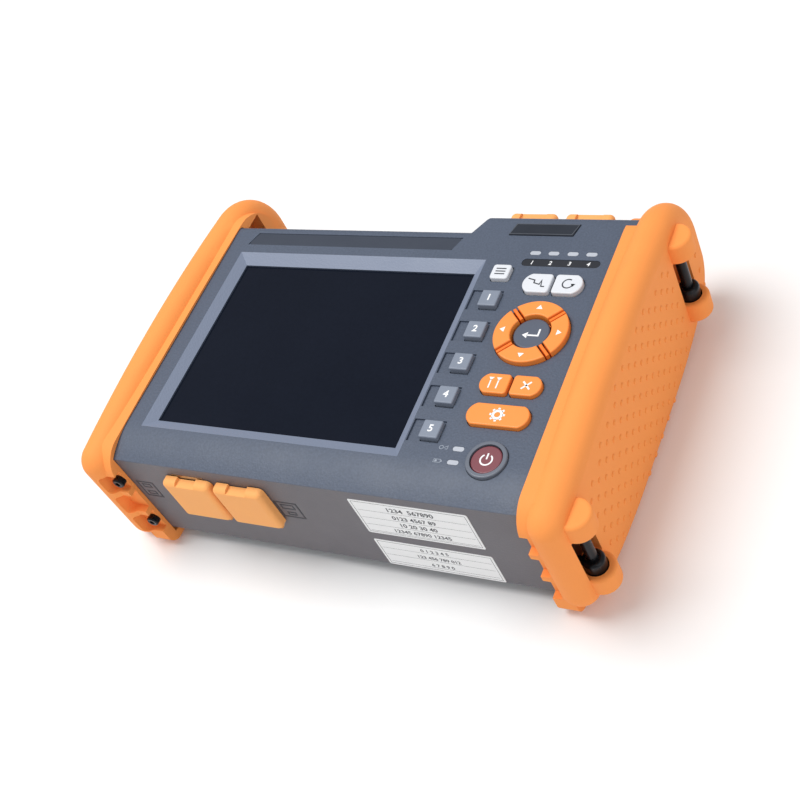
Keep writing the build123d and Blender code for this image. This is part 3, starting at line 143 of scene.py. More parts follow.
@dataclass(frozen=True)
class Finish:
    """A surface finish: what it is made of and how it was made.

    The grain's width and depth and the width of the tone's slow wander are in millimetres. The wander
    is the tone's change up and down as a share, and the speck is how much of it is as fine as the grain.
    """

    name: str
    colour: str
    grain: Grain
    roughness: float = 0.5
    metallic: float = 0.0
    specular: float = 0.5
    grain_mm: float = 0.4
    depth_mm: float = 0.012
    wander: float = 0.05
    wander_mm: float = 22.0
    speck: float = 0.35
    coat: float = 0.0
    coat_roughness: float = 0.1
    patches: tuple[Patch, ...] = ()

    def shade(self, factor: float) -> tuple[float, float, float, float]:
        """The finish's colour, lightened or darkened by a factor."""
        return tuple(min(1.0, c * factor) for c in linear(self.colour)[:3]) + (1.0,)

    def relief(self, tree: bpy.types.NodeTree, place: bpy.types.NodeSocket) -> bpy.types.NodeSocket:
        """Builds the height pattern of the grain.

        Args:
            tree: The material's tree.
            place: The position on the piece, in metres.

        Returns:
            The socket that carries the height, from 0 to 1.
        """
        scale = 1 / (self.grain_mm * MM)
        if self.grain is Grain.SPARK:
            pits = add_node(tree, "ShaderNodeTexVoronoi", {"feature": "SMOOTH_F1"},
                            {"Vector": place, "Scale": scale, "Smoothness": 0.7})
            flow = add_node(tree, "ShaderNodeTexNoise", {},
                            {"Vector": place, "Scale": scale * 0.6, "Detail": 3.0})
            return add_node(tree, "ShaderNodeMath", {"operation": "ADD"},
                            {0: pits.outputs["Distance"], 1: flow.outputs["Fac"]}).outputs[0]
        if self.grain in (Grain.BRUSHED, Grain.WOUND):
            brushed = (scale, scale * 0.04, scale)
            wound = (scale * 0.1, scale * 0.1, scale)
            stretch = brushed if self.grain is Grain.BRUSHED else wound
            drawn = add_node(tree, "ShaderNodeMapping", {}, {"Vector": place, "Scale": stretch})
            return add_node(tree, "ShaderNodeTexNoise", {},
                            {"Vector": drawn.outputs[0], "Scale": 1.0, "Detail": 4.0}).outputs["Fac"]
        detail = 5.0 if self.grain is Grain.MATT else 2.0
        return add_node(tree, "ShaderNodeTexNoise", {},
                        {"Vector": place, "Scale": scale, "Detail": detail, "Roughness": 0.65}).outputs["Fac"]

    def material(self) -> bpy.types.Material:
        """Builds the material once, and returns it each time.

        Returns:
            The material.
        """
        ready = bpy.data.materials.get(self.name)
        if ready:
            return ready
        made = bpy.data.materials.new(self.name)
        made.use_nodes = True
        made.diffuse_color = linear(self.colour)
        tree = made.node_tree
        tree.nodes.clear()
        place = add_node(tree, "ShaderNodeTexCoord").outputs["Object"]
        height = self.relief(tree, place)
        cloud = add_node(tree, "ShaderNodeTexNoise", {},
                         {"Vector": place, "Scale": 1 / (self.wander_mm * MM), "Detail": 4.0, "Roughness": 0.6})
        speck = add_node(tree, "ShaderNodeTexNoise", {},
                         {"Vector": place, "Scale": 0.8 / (self.grain_mm * MM), "Detail": 1.0})
        tone = add_node(tree, "ShaderNodeMix", {"data_type": "FLOAT"},
                        {0: self.speck, 2: cloud.outputs["Fac"], 3: speck.outputs["Fac"]})
        ramp = add_node(tree, "ShaderNodeMapRange", {},
                        {"Value": tone.outputs[0], "From Min": 0.3, "From Max": 0.7})
        body = add_node(tree, "ShaderNodeMix", {"data_type": "RGBA"},
                        {0: ramp.outputs[0], 6: self.shade(1 - self.wander), 7: self.shade(1 + self.wander)})
        tint = body.outputs[2]
        # Boxes of another tone are mixed over the body colour: mould differences and painted reflection alike.
        for patch in self.patches:
            tint = add_node(tree, "ShaderNodeMix", {"data_type": "RGBA"},
                            {0: patch.mask(tree, place), 6: tint, 7: linear(patch.colour)}).outputs[2]
        rough = add_node(tree, "ShaderNodeMapRange", {},
                         {"Value": cloud.outputs["Fac"], "From Min": 0.3, "From Max": 0.7,
                          "To Min": max(0.02, self.roughness - 0.05),
                          "To Max": min(1.0, self.roughness + 0.05)})
        bump = add_node(tree, "ShaderNodeBump", {}, {"Height": height, "Distance": self.depth_mm * MM})
        shader = add_node(tree, "ShaderNodeBsdfPrincipled", {}, {
            "Base Color": tint, "Roughness": rough.outputs[0], "Metallic": self.metallic,
            "Specular IOR Level": self.specular, "Normal": bump.outputs[0], "Coat Weight": self.coat,
            "Coat Roughness": self.coat_roughness,
        })
        add_node(tree, "ShaderNodeOutputMaterial", {}, {"Surface": shader.outputs[0]})
        return made


# Moulded ABS from a spark-eroded mould: dull, finely pitted, so that light spreads softly over it.
# The real pits are about 0.1 mm wide; they are drawn at 0.7 mm so that they show.
# The screen's bevel comes from a smoother part of the mould and is paler; the end face gets a warm painted
# reflection of the orange covers.
SHELL = Finish("abs_spark_eroded_slate", "#4b5567", Grain.SPARK, roughness=0.5, grain_mm=0.7, depth_mm=0.05,
               wander=0.12, speck=0.8, patches=(
                   Patch((-85.3, -61.0, 61.72), (39.3, 37.7, 64.66), "#7d879c"),
                   # Painted reflection: a warmer, lighter tone on the bottom end face, standing in for light
                   # thrown back from the orange covers.
                   Patch((-101.6, -77.0, 0.0), (101.6, -76.3, 60.2), "#625f65"),
               ))
# Thermoplastic rubber from a blasted mould: no shine, a little sheen, colour slightly uneven.
BUMPER = Finish("tpr_blasted_orange", "#ff9d53", Grain.MATT, roughness=0.66, specular=0.16, grain_mm=0.45,
                depth_mm=0.02, wander=0.035, wander_mm=35)
# The covers are moulded from the same rubber in a paler batch.
COVER = Finish("tpr_blasted_pale_orange", "#ffb26b", Grain.MATT, roughness=0.62, specular=0.2, grain_mm=0.45,
               depth_mm=0.02, wander=0.04)
# Silicone keys with a sprayed satin coat: even colour, soft broad highlight.
KEY_GREY = Finish("silicone_satin_grey", "#7f8898", Grain.SATIN, roughness=0.45, grain_mm=0.35, depth_mm=0.004)
KEY_DARK = Finish("silicone_satin_slate", "#525a6a", Grain.SATIN, roughness=0.45, grain_mm=0.35, depth_mm=0.004)
KEY_WHITE = Finish("silicone_satin_white", "#dde0e6", Grain.SATIN, roughness=0.42, grain_mm=0.35,
                   depth_mm=0.004, wander=0.02)
KEY_ORANGE = Finish("silicone_satin_orange", "#ff9440", Grain.SATIN, roughness=0.42, grain_mm=0.35,
                    depth_mm=0.004, wander=0.03)
# Bare silicone of the key mat: duller and stronger in colour than the coated keys.
MAT = Finish("silicone_moulded_orange", "#f47a1c", Grain.MATT, roughness=0.55, grain_mm=0.4, depth_mm=0.01)
# Satin ABS of the power button and its ring: smooth, with a clearer highlight than the shell.
POWER = Finish("abs_satin_maroon", "#7a3f48", Grain.SATIN, roughness=0.35, grain_mm=0.35, depth_mm=0.004)
RING = Finish("abs_satin_grey_ring", "#666c78", Grain.SATIN, roughness=0.3, grain_mm=0.4, depth_mm=0.004)
# Acrylic window with an anti-reflection coat over a dark display: almost black, faint reflections.
WINDOW = Finish("acrylic_window_dark", "#131824", Grain.FILM, roughness=0.2, specular=0.08, grain_mm=1.2,
                depth_mm=0.001, wander=0.12, wander_mm=70)
# Black oxide on turned steel: oily black with a soft highlight.
BLACK_STEEL = Finish("steel_black_oxide", "#1b1c20", Grain.BRUSHED, roughness=0.3, metallic=0.6, grain_mm=0.3,
                     depth_mm=0.004)
# Drawn steel sheet and wire: bright, with fine streaks along the drawing.
BRIGHT_STEEL = Finish("steel_drawn_bright", "#b9bbbd", Grain.BRUSHED, roughness=0.28, metallic=1.0,
                      grain_mm=0.25, depth_mm=0.004)
# Nickel plate on turned brass: the brightest metal here, slightly warm.
NICKEL = Finish("brass_nickel_plated", "#c4c2bb", Grain.BRUSHED, roughness=0.2, metallic=1.0, grain_mm=0.3,
                depth_mm=0.003)
# Moulded nylon of the socket bodies: black and matt.
NYLON = Finish("nylon_moulded_black", "#17181a", Grain.MATT, roughness=0.55, grain_mm=0.4, depth_mm=0.008)
# Frosted polycarbonate light pipes, unlit: milky grey with a thin gloss.
LENS = Finish("polycarbonate_light_pipe", "#b7bcc6", Grain.SATIN, roughness=0.35, grain_mm=0.5, depth_mm=0.003,
              coat=0.2)
# Polyester film printed from behind: even dark colour under a smooth face.
STRIP = Finish("film_printed_black", "#23262e", Grain.FILM, roughness=0.3, grain_mm=0.5, depth_mm=0.003)
TITLE = Finish("film_printed_slate", "#353c4a", Grain.FILM, roughness=0.34, grain_mm=0.5, depth_mm=0.003)
# Dark anodised aluminium with a diamond-cut rim: dull plate, bright edge.
BADGE = Finish("aluminium_anodised_dark", "#3c414b", Grain.BRUSHED, roughness=0.3, metallic=0.7, grain_mm=0.25,
               depth_mm=0.004)
BADGE_RIM = Finish("aluminium_diamond_cut", "#8d929c", Grain.BRUSHED, roughness=0.15, metallic=1.0,
                   grain_mm=0.25, depth_mm=0.002)
# Die-cast aluminium of the optical engine's case: grey and slightly rough.
CAST = Finish("aluminium_die_cast", "#a9abad", Grain.SPARK, roughness=0.45, metallic=1.0, grain_mm=0.6,
              depth_mm=0.02)
# Glass laminate under green solder mask: glossy, with a cloudy tone from the weave.
BOARD = Finish("laminate_green_solder_mask", "#1d5a38", Grain.FILM, roughness=0.3, grain_mm=0.8, depth_mm=0.006,
               wander=0.12, wander_mm=6, coat=0.3)
# Coated fibre wound in layers: fine parallel ridges. Real fibre is 0.25 mm; it is drawn at 0.5 mm.
FIBRE = Finish("fibre_coated_yellow", "#e9cf55", Grain.WOUND, roughness=0.35, grain_mm=0.5, depth_mm=0.08,
               wander=0.1, wander_mm=3)
# Shrunk PVC sleeve of the battery: smooth and shiny.
WRAP = Finish("pvc_shrunk_blue", "#2c4f8a", Grain.FILM, roughness=0.25, grain_mm=1.0, depth_mm=0.01,
              wander=0.08)
# Coated paper labels: bright white, even.
LABEL = Finish("paper_label_white", "#eff0f1", Grain.FILM, roughness=0.4, grain_mm=0.6, depth_mm=0.004,
               wander=0.015)
# Screen-printed inks: flat and matt, a little proud of what they are printed on.
INK_DARK = Finish("ink_screen_printed_dark", "#33373f", Grain.FILM, roughness=0.5, grain_mm=0.3, depth_mm=0.002)
INK_WHITE = Finish("ink_screen_printed_white", "#f4f5f6", Grain.FILM, roughness=0.45, grain_mm=0.3,
                   depth_mm=0.002, wander=0.02)
INK_FAINT = Finish("ink_screen_printed_faint", "#99a1ae", Grain.FILM, roughness=0.5, grain_mm=0.3,
                   depth_mm=0.002)
# Raised pictograms of the shell's own ABS, which read darker than the face round them.
ENGRAVED = Finish("abs_engraved_dark", "#3b3b41", Grain.MATT, roughness=0.6, grain_mm=0.4, depth_mm=0.01)

SLOT_FINISHES = {
    "shell_plastic": SHELL, "bumper_rubber": BUMPER, "black_steel": BLACK_STEEL, "screen_window": WINDOW,
    "display_module": STRIP, "sheet_steel": BRIGHT_STEEL, "key_silicone_orange": MAT, "circuit_board": BOARD,
    "ring_plastic": RING, "lamp_lens": LENS, "dark_inlay": STRIP, "title_inlay": TITLE, "badge_metal": BADGE,
    "engine_case": CAST, "fibre_jacket": FIBRE, "battery_wrap": WRAP, "socket_metal": BRIGHT_STEEL,
    "socket_plastic": NYLON, "adapter_metal": NICKEL, "cover_rubber": COVER, "pin_steel": BRIGHT_STEEL,
    "key_white": KEY_WHITE, "power_plastic": POWER, "key_grey": KEY_GREY, "key_orange": KEY_ORANGE,
}
NODE_FINISHES = {"key_enter": KEY_DARK}


class Face(Enum):
    """The two faces of the casing that carry printed or raised marks."""

    PANEL = "front, seen along -Z"
    BOTTOM = "bottom end, seen along +Y"


def on_face(face: Face, level_mm: float) -> Matrix:
    """The matrix that takes flat work in millimetres onto a face.

    Args:
        face: The face that carries the work.
        level_mm: The face's Z, or its Y on the bottom face.

    Returns:
        A matrix from flat millimetres to the row frame's metres.
    """
    scale = Matrix.Scale(MM, 4)
    if face is Face.PANEL:
        return Matrix.Translation((0, 0, level_mm * MM)) @ scale
    return Matrix.Translation((0, level_mm * MM, 0)) @ Matrix.Rotation(math.pi / 2, 4, "X") @ scale


@dataclass
class FlatWork:
    """Flat printed or raised shapes, gathered into one piece on one body."""

    name: str
    body: str
    finish: Finish
    face: Face
    level_mm: float
    sink_mm: float = 0.02
    rise_mm: float = 0.03

    def __post_init__(self) -> None:
        """Starts with an empty mesh."""
        self.work = bmesh.new()

    def prism(self, outline: Sequence[Point], hole: Sequence[Point] | None = None) -> None:
        """Adds a thin plate with that outline.

        Args:
            outline: The corners in order, in millimetres.
            hole: An inner outline with as many corners, cut out of the plate.
        """
        low, high = -self.sink_mm, self.rise_mm
        rings = [[self.work.verts.new((x, y, z)) for x, y in line]
                 for line in (outline, hole or ()) for z in (low, high)]
        bottom, top, hole_bottom, hole_top = rings
        count = len(bottom)
        for i in range(count):
            j = (i + 1) % count
            self.work.faces.new((bottom[i], bottom[j], top[j], top[i]))
            if hole:
                self.work.faces.new((hole_bottom[j], hole_bottom[i], hole_top[i], hole_top[j]))
                self.work.faces.new((top[i], top[j], hole_top[j], hole_top[i]))
                self.work.faces.new((bottom[j], bottom[i], hole_bottom[i], hole_bottom[j]))
        if not hole:
            self.work.faces.new(top)
            self.work.faces.new(bottom[::-1])

    def bar(self, x: float, y: float, width: float, height: float, turn: float = 0.0,
            slant: float = 0.0) -> None:
        """Adds a rectangle round a centre, turned by degrees and slanted to the right by its top."""
        corners = [(-width / 2, -height / 2), (width / 2, -height / 2),
                   (width / 2 + slant, height / 2), (-width / 2 + slant, height / 2)]
        c, s = math.cos(math.radians(turn)), math.sin(math.radians(turn))
        self.prism([(x + u * c - v * s, y + u * s + v * c) for u, v in corners])

    def path(self, points: Sequence[Point], width: float) -> None:
        """Adds a line of constant width along points, with mitred corners."""
        left, right = [], []
        for i, (x, y) in enumerate(points):
            before = Vector(points[max(i - 1, 0)])
            after = Vector(points[min(i + 1, len(points) - 1)])
            here = Vector((x, y))
            into = (here - before).normalized() if i else (after - here).normalized()
            out = (after - here).normalized() if i < len(points) - 1 else into
            along = (into + out).normalized()
            reach = width / 2 / max(0.4, along.dot(into))
            left.append((x - along.y * reach, y + along.x * reach))
            right.append((x + along.y * reach, y - along.x * reach))
        for a, b, c, d in zip(right, right[1:], left[1:], left):
            self.prism([a, b, c, d])

    def ring(self, x: float, y: float, radius: float, width: float, steps: int = 40) -> None:
        """Adds a closed ring of a width, measured inwards."""
        turns = [2 * math.pi * i / steps for i in range(steps)]
        self.prism([(x + radius * math.cos(t), y + radius * math.sin(t)) for t in turns],
                   [(x + (radius - width) * math.cos(t), y + (radius - width) * math.sin(t)) for t in turns])

    def arc(self, x: float, y: float, radius: float, width: float, start: float, end: float) -> None:
        """Adds part of a ring between two angles in degrees."""
        steps = max(6, int(abs(end - start) / 9))
        turns = [math.radians(start + (end - start) * i / steps) for i in range(steps + 1)]
        self.path([(x + radius * math.cos(t), y + radius * math.sin(t)) for t in turns], width)

    def frame(self, x0: float, y0: float, x1: float, y1: float, width: float) -> None:
        """Adds a rectangular frame between two corners."""
        w = width
        self.prism([(x0, y0), (x1, y0), (x1, y1), (x0, y1)],
                   [(x0 + w, y0 + w), (x1 - w, y0 + w), (x1 - w, y1 - w), (x0 + w, y1 - w)])

    def numerals(self, text: str, x: float, y: float, height: float, bold: float = 0.03,
                 slant: float = 0.0) -> None:
        """Adds plain figures, centred on a point.

        Args:
            text: The figures.
            x: The centre across.
            y: The centre up.
            height: The height of a figure, in millimetres.
            bold: How much each outline grows, as a share of the height.
            slant: The lean of the figures to the right.
        """
        curve = bpy.data.curves.new("figures", "FONT")
        curve.body, curve.size, curve.shear = text, height * FONT_SIZE_PER_FIGURE, slant
        curve.align_x, curve.align_y, curve.offset = "CENTER", "CENTER", bold * height
        curve.extrude, curve.resolution_u = (self.rise_mm + self.sink_mm) / 2, 3
        holder = bpy.data.objects.new("figures", curve)
        bpy.context.scene.collection.objects.link(holder)
        mesh = bpy.data.meshes.new_from_object(holder.evaluated_get(bpy.context.evaluated_depsgraph_get()))
        mesh.transform(Matrix.Translation((x, y, (self.rise_mm - self.sink_mm) / 2)))
        self.work.from_mesh(mesh)
        bpy.data.objects.remove(holder)
        bpy.data.meshes.remove(mesh)
        bpy.data.curves.remove(curve)

    def finish_piece(self, slot: str | None = None) -> bpy.types.Object:
        """Closes the work into a piece that rides on its body.

        Args:
            slot: Not used.

        Returns:
            The piece.
        """
        bmesh.ops.remove_doubles(self.work, verts=self.work.verts, dist=WELD_MM)
        bmesh.ops.recalc_face_normals(self.work, faces=self.work.faces)
        mesh = bpy.data.meshes.new(self.name)
        self.work.to_mesh(mesh)
        self.work.free()
        mesh.transform(on_face(self.face, self.level_mm))
        mesh.materials.append(self.finish.material())
        piece = bpy.data.objects.new(self.name, mesh)
        bpy.context.scene.collection.objects.link(piece)
        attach(piece, self.body)
        log.info("%s on %s: %d faces", self.name, self.body, len(mesh.polygons))
        return piece


def top_of(node: str) -> float:
    """The height of a node's top, in millimetres."""
    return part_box(node)[1][2] / MM


def middle_of(node: str) -> Point:
    """The middle of a node on the panel, in millimetres."""
    low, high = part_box(node)
    return (low[0] + high[0]) / 2 / MM, (low[1] + high[1]) / 2 / MM


@dataclass
class Solids:
    """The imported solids, dressed by their material slots."""

    by_slot: dict[str, Finish] = field(default_factory=lambda: SLOT_FINISHES)
    by_node: dict[str, Finish] = field(default_factory=lambda: NODE_FINISHES)

    def build(self) -> None:
        """Gives each solid the finish of its slot."""
        slots = {entry["node"]: entry["material_slot"] for entry in frame["record"]["subparts"]}
        for node, solid in frame["nodes"].items():
            finish = self.by_node.get(node, self.by_slot[slots[node]])
            if not solid.data.materials:
                solid.data.materials.append(None)
            for place in range(len(solid.material_slots)):
                solid.material_slots[place].link = "OBJECT"
                solid.material_slots[place].material = finish.material()
            log.info("%s: %s", node, finish.name)


@dataclass
class KeyMarks:
    """Numerals and icons on the tops of the keys; each rides on its own key."""

    numeral_mm: float = 3.1
    line_mm: float = 0.55

    def work(self, node: str, finish: Finish, suffix: str = "mark") -> FlatWork:
        """Empty flat work on the top of a key."""
        return FlatWork(f"{node}_{suffix}", node, finish, Face.PANEL, top_of(node))

    def function_keys(self) -> None:
        """Numerals 1 to 5 down the column of function keys."""
        for number in range(1, 6):
            node = f"key_f{number}"
            x, y = middle_of(node)
            mark = self.work(node, INK_WHITE)
            mark.numerals(str(number), x, y, self.numeral_mm)
            mark.finish_piece()

    def white_keys(self) -> None:
        """A list, a falling trace and a turning arrow."""
        x, y = middle_of("key_menu")
        mark = self.work("key_menu", INK_DARK)
        for row in (-1.4, 0, 1.4):
            mark.bar(x, y + row, 4.4, self.line_mm)
        mark.finish_piece()
        x, y = middle_of("key_trace")
        mark = self.work("key_trace", INK_DARK)
        mark.path([(x - 4, y + 2), (x - 1, y + 1.2), (x - 1, y - 0.2), (x + 1.5, y - 0.9), (x + 2, y + 1.2),
                   (x + 2.5, y - 1.9), (x + 4, y - 2)], self.line_mm)
        mark.finish_piece()
        x, y = middle_of("key_auto")
        mark = self.work("key_auto", INK_DARK)
        mark.arc(x, y, 2.2, self.line_mm, 60, 360)
        mark.prism([(x + 1.2, y), (x + 3.2, y), (x + 2.2, y - 1.6)][::-1])
        mark.finish_piece()

    def orange_keys(self) -> None:
        """Two markers, a cross and a gear wheel."""
        x, y = middle_of("key_marker")
        mark = self.work("key_marker", INK_WHITE)
        for side in (-1.6, 1.6):
            mark.bar(x + side, y - 0.5, self.line_mm, 4.0)
            mark.prism([(x + side - 1.1, y + 2.6), (x + side, y + 1.1), (x + side + 1.1, y + 2.6)])
        mark.finish_piece()
        x, y = middle_of("key_escape")
        mark = self.work("key_escape", INK_WHITE)
        for turn in (45, -45):
            mark.bar(x, y, 4.8, self.line_mm * 1.3, turn)
        mark.finish_piece()
        x, y = middle_of("key_setup")
        mark = self.work("key_setup", INK_WHITE)
        mark.ring(x, y, 2.3, 1.1)
        for step in range(8):
            turn = math.radians(45 * step)
            mark.bar(x + 2.6 * math.cos(turn), y + 2.6 * math.sin(turn), 1.0, 0.9, 45 * step)
        mark.finish_piece()

    def arrow_keys(self) -> None:
        """A triangle on each arrow key and a return arrow on the middle key."""
        cx, cy = middle_of("key_enter")
        for index, node in enumerate(("key_up", "key_left", "key_down", "key_right")):
            turn = Matrix.Rotation(math.radians(90 * index), 2)
            mark = self.work(node, INK_WHITE)
            corners = [turn @ Vector(p) for p in ((-1.3, 10.9), (1.3, 10.9), (0, 12.9))]
            mark.prism([(cx + p.x, cy + p.y) for p in corners])
            mark.finish_piece()
        mark = self.work("key_enter", INK_WHITE)
        mark.path([(cx + 3, cy + 2.2), (cx + 3, cy - 1), (cx - 1.6, cy - 1)], self.line_mm * 1.3)
        mark.prism([(cx - 3.6, cy - 1), (cx - 1.4, cy - 2.5), (cx - 1.4, cy + 0.5)])
        mark.finish_piece()

    def power(self) -> None:
        """A broken ring with an upright bar."""
        x, y = middle_of("power_button")
        mark = self.work("power_button", INK_WHITE)
        mark.arc(x, y - 0.1, 2.3, 0.6, 125, 415)
        mark.bar(x, y + 1.4, 0.6, 2.6)
        mark.finish_piece()

    def build(self) -> None:
        """Builds the marks of all keys."""
        self.function_keys()
        self.white_keys()
        self.orange_keys()
        self.arrow_keys()
        self.power()


@dataclass
class PanelMarks:
    """Numerals under the lamps, icons beside the power lamps, and the badge's bright rim."""

    lamp_rows: tuple[float, ...] = (-54.7, -60.7)
    lamp_columns: tuple[float, ...] = (59.8, 67.8, 76.0, 84.0)
    numeral_mm: float = 1.9
    rim_mm: float = 0.3
    badge_slant: float = 1.6
    badge_inset: float = 0.3

    def build(self) -> None:
        """Builds the marks on the panel."""
        low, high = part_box("lamp_strip")
        strip_y = (low[1] + high[1]) / 2 / MM
        mark = FlatWork("lamp_numbers", "casing", INK_WHITE, Face.PANEL, top_of("lamp_strip"))
        for number, x in enumerate(self.lamp_columns, 1):
            mark.numerals(str(number), x, strip_y, self.numeral_mm, slant=0.15)
        mark.finish_piece()
        mark = FlatWork("power_lamp_icons", "casing", INK_FAINT, Face.PANEL, top_of("front_shell"))
        y = self.lamp_rows[0]
        mark.path([(57.2, y - 0.6), (58.2, y - 0.6), (58.2, y + 0.9), (56.6, y - 0.1)], 0.2)
        mark.ring(55.6, y, 0.9, 0.22, 24)
        y = self.lamp_rows[1]
        mark.frame(54.6, y - 0.8, 57.6, y + 0.8, 0.2)
        mark.bar(57.9, y, 0.4, 0.8)
        mark.bar(55.6, y, 0.9, 0.8)
        mark.finish_piece()
        self.badge_rim()

    def badge_rim(self) -> None:
        """A bright cut edge round the slanted badge."""
        low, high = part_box("badge_plate")
        x0, x1, y0, y1 = low[0] / MM, high[0] / MM, low[1] / MM, high[1] / MM
        slant, inset, rim = self.badge_slant, self.badge_inset, self.rim_mm
        outer = [(x0 + inset, y0 + inset), (x1 - slant - inset, y0 + inset), (x1 - inset, y1 - inset),
                 (x0 + slant + inset, y1 - inset)]
        inner = [(x0 + inset + rim, y0 + inset + rim), (x1 - slant - inset - rim, y0 + inset + rim),
                 (x1 - inset - rim, y1 - inset - rim), (x0 + slant + inset + rim, y1 - inset - rim)]
        mark = FlatWork("badge_rim", "casing", BADGE_RIM, Face.PANEL, high[2] / MM)
        mark.prism(outer, inner)
        mark.finish_piece()


@dataclass
class BottomMarks:
    """Two paper labels with plain figures and two small raised pictograms on the bottom face."""

    face_y: float = -76.5
    paper_mm: float = 0.12
    corner_mm: float = 0.8
    relief_mm: float = 0.12

    def label(self, name: str, x0: float, x1: float, z0: float, z1: float,
              rows: Iterable[tuple[str, float, float]]) -> None:
        """One label.

        Args:
            name: The piece's name.
            x0: Its left edge.
            x1: Its right edge.
            z0: Its lower edge.
            z1: Its upper edge.
            rows: Figures with their height above the lower edge and their own height.
        """
        paper = FlatWork(name, "casing", LABEL, Face.BOTTOM, self.face_y, rise_mm=self.paper_mm)
        r = self.corner_mm
        corners = [(x1 - r, z0 + r, -90), (x1 - r, z1 - r, 0), (x0 + r, z1 - r, 90), (x0 + r, z0 + r, 180)]
        paper.prism([(x + r * math.cos(math.radians(a + s)), z + r * math.sin(math.radians(a + s)))
                     for x, z, a in corners for s in (0, 30, 60, 90)])
        paper.finish_piece()
        ink = FlatWork(name + "_print", "casing", INK_DARK, Face.BOTTOM, self.face_y - self.paper_mm,
                       rise_mm=0.02)
        ink.frame(x0 + 1, z0 + 1, x1 - 1, z1 - 1, 0.18)
        for text, up, height in rows:
            ink.numerals(text, (x0 + x1) / 2, z0 + up, height)
            ink.bar((x0 + x1) / 2, z0 + up - height * 0.85, x1 - x0 - 4, 0.12)
        ink.finish_piece()

    def pictogram(self, name: str, x0: float, x1: float, z0: float, z1: float,
                  sockets: Sequence[tuple[float, float, float, float]]) -> None:
        """A raised frame with the outlines of the sockets behind the cover.

        Args:
            name: The piece's name.
            x0: Its left edge.
            x1: Its right edge.
            z0: Its lower edge.
            z1: Its upper edge.
            sockets: The middle, width and height of each outline within it.
        """
        mark = FlatWork(name, "casing", ENGRAVED, Face.BOTTOM, self.face_y, rise_mm=self.relief_mm)
        mark.frame(x0, z0, x1, z1, 0.7)
        for x, z, w, h in sockets:
            mark.frame(x - w / 2, z - h / 2, x + w / 2, z + h / 2, 0.55)
        mark.finish_piece()

    def build(self) -> None:
        """Builds the labels and the pictograms."""
        self.label("upper_label", 20, 71, 32.7, 55.7,
                   (("1234  567890", 18.6, 2.6), ("0123 4567 89", 13.4, 2.4), ("10 20 30 40", 8.6, 2.4),
                    ("12345 67890 12345", 3.9, 2.2)))
        self.label("lower_label", 19.6, 71.5, 9.2, 27.7,
                   (("0 1 2 3 4 5", 14.6, 2.0), ("123 456 789 012", 9.6, 2.0), ("6 7 8 9 0", 4.4, 2.0)))
        self.pictogram("network_pictogram", -91.2, -82.2, 34.7, 45.7,
                       ((-86.7, 42.7, 4.6, 2.6), (-86.7, 37.7, 4.6, 2.6)))
        self.pictogram("data_pictogram", -19.4, -8.6, 34.7, 45.7,
                       ((-14, 42.3, 6.4, 3.2), (-14, 37.6, 4.2, 2.2)))


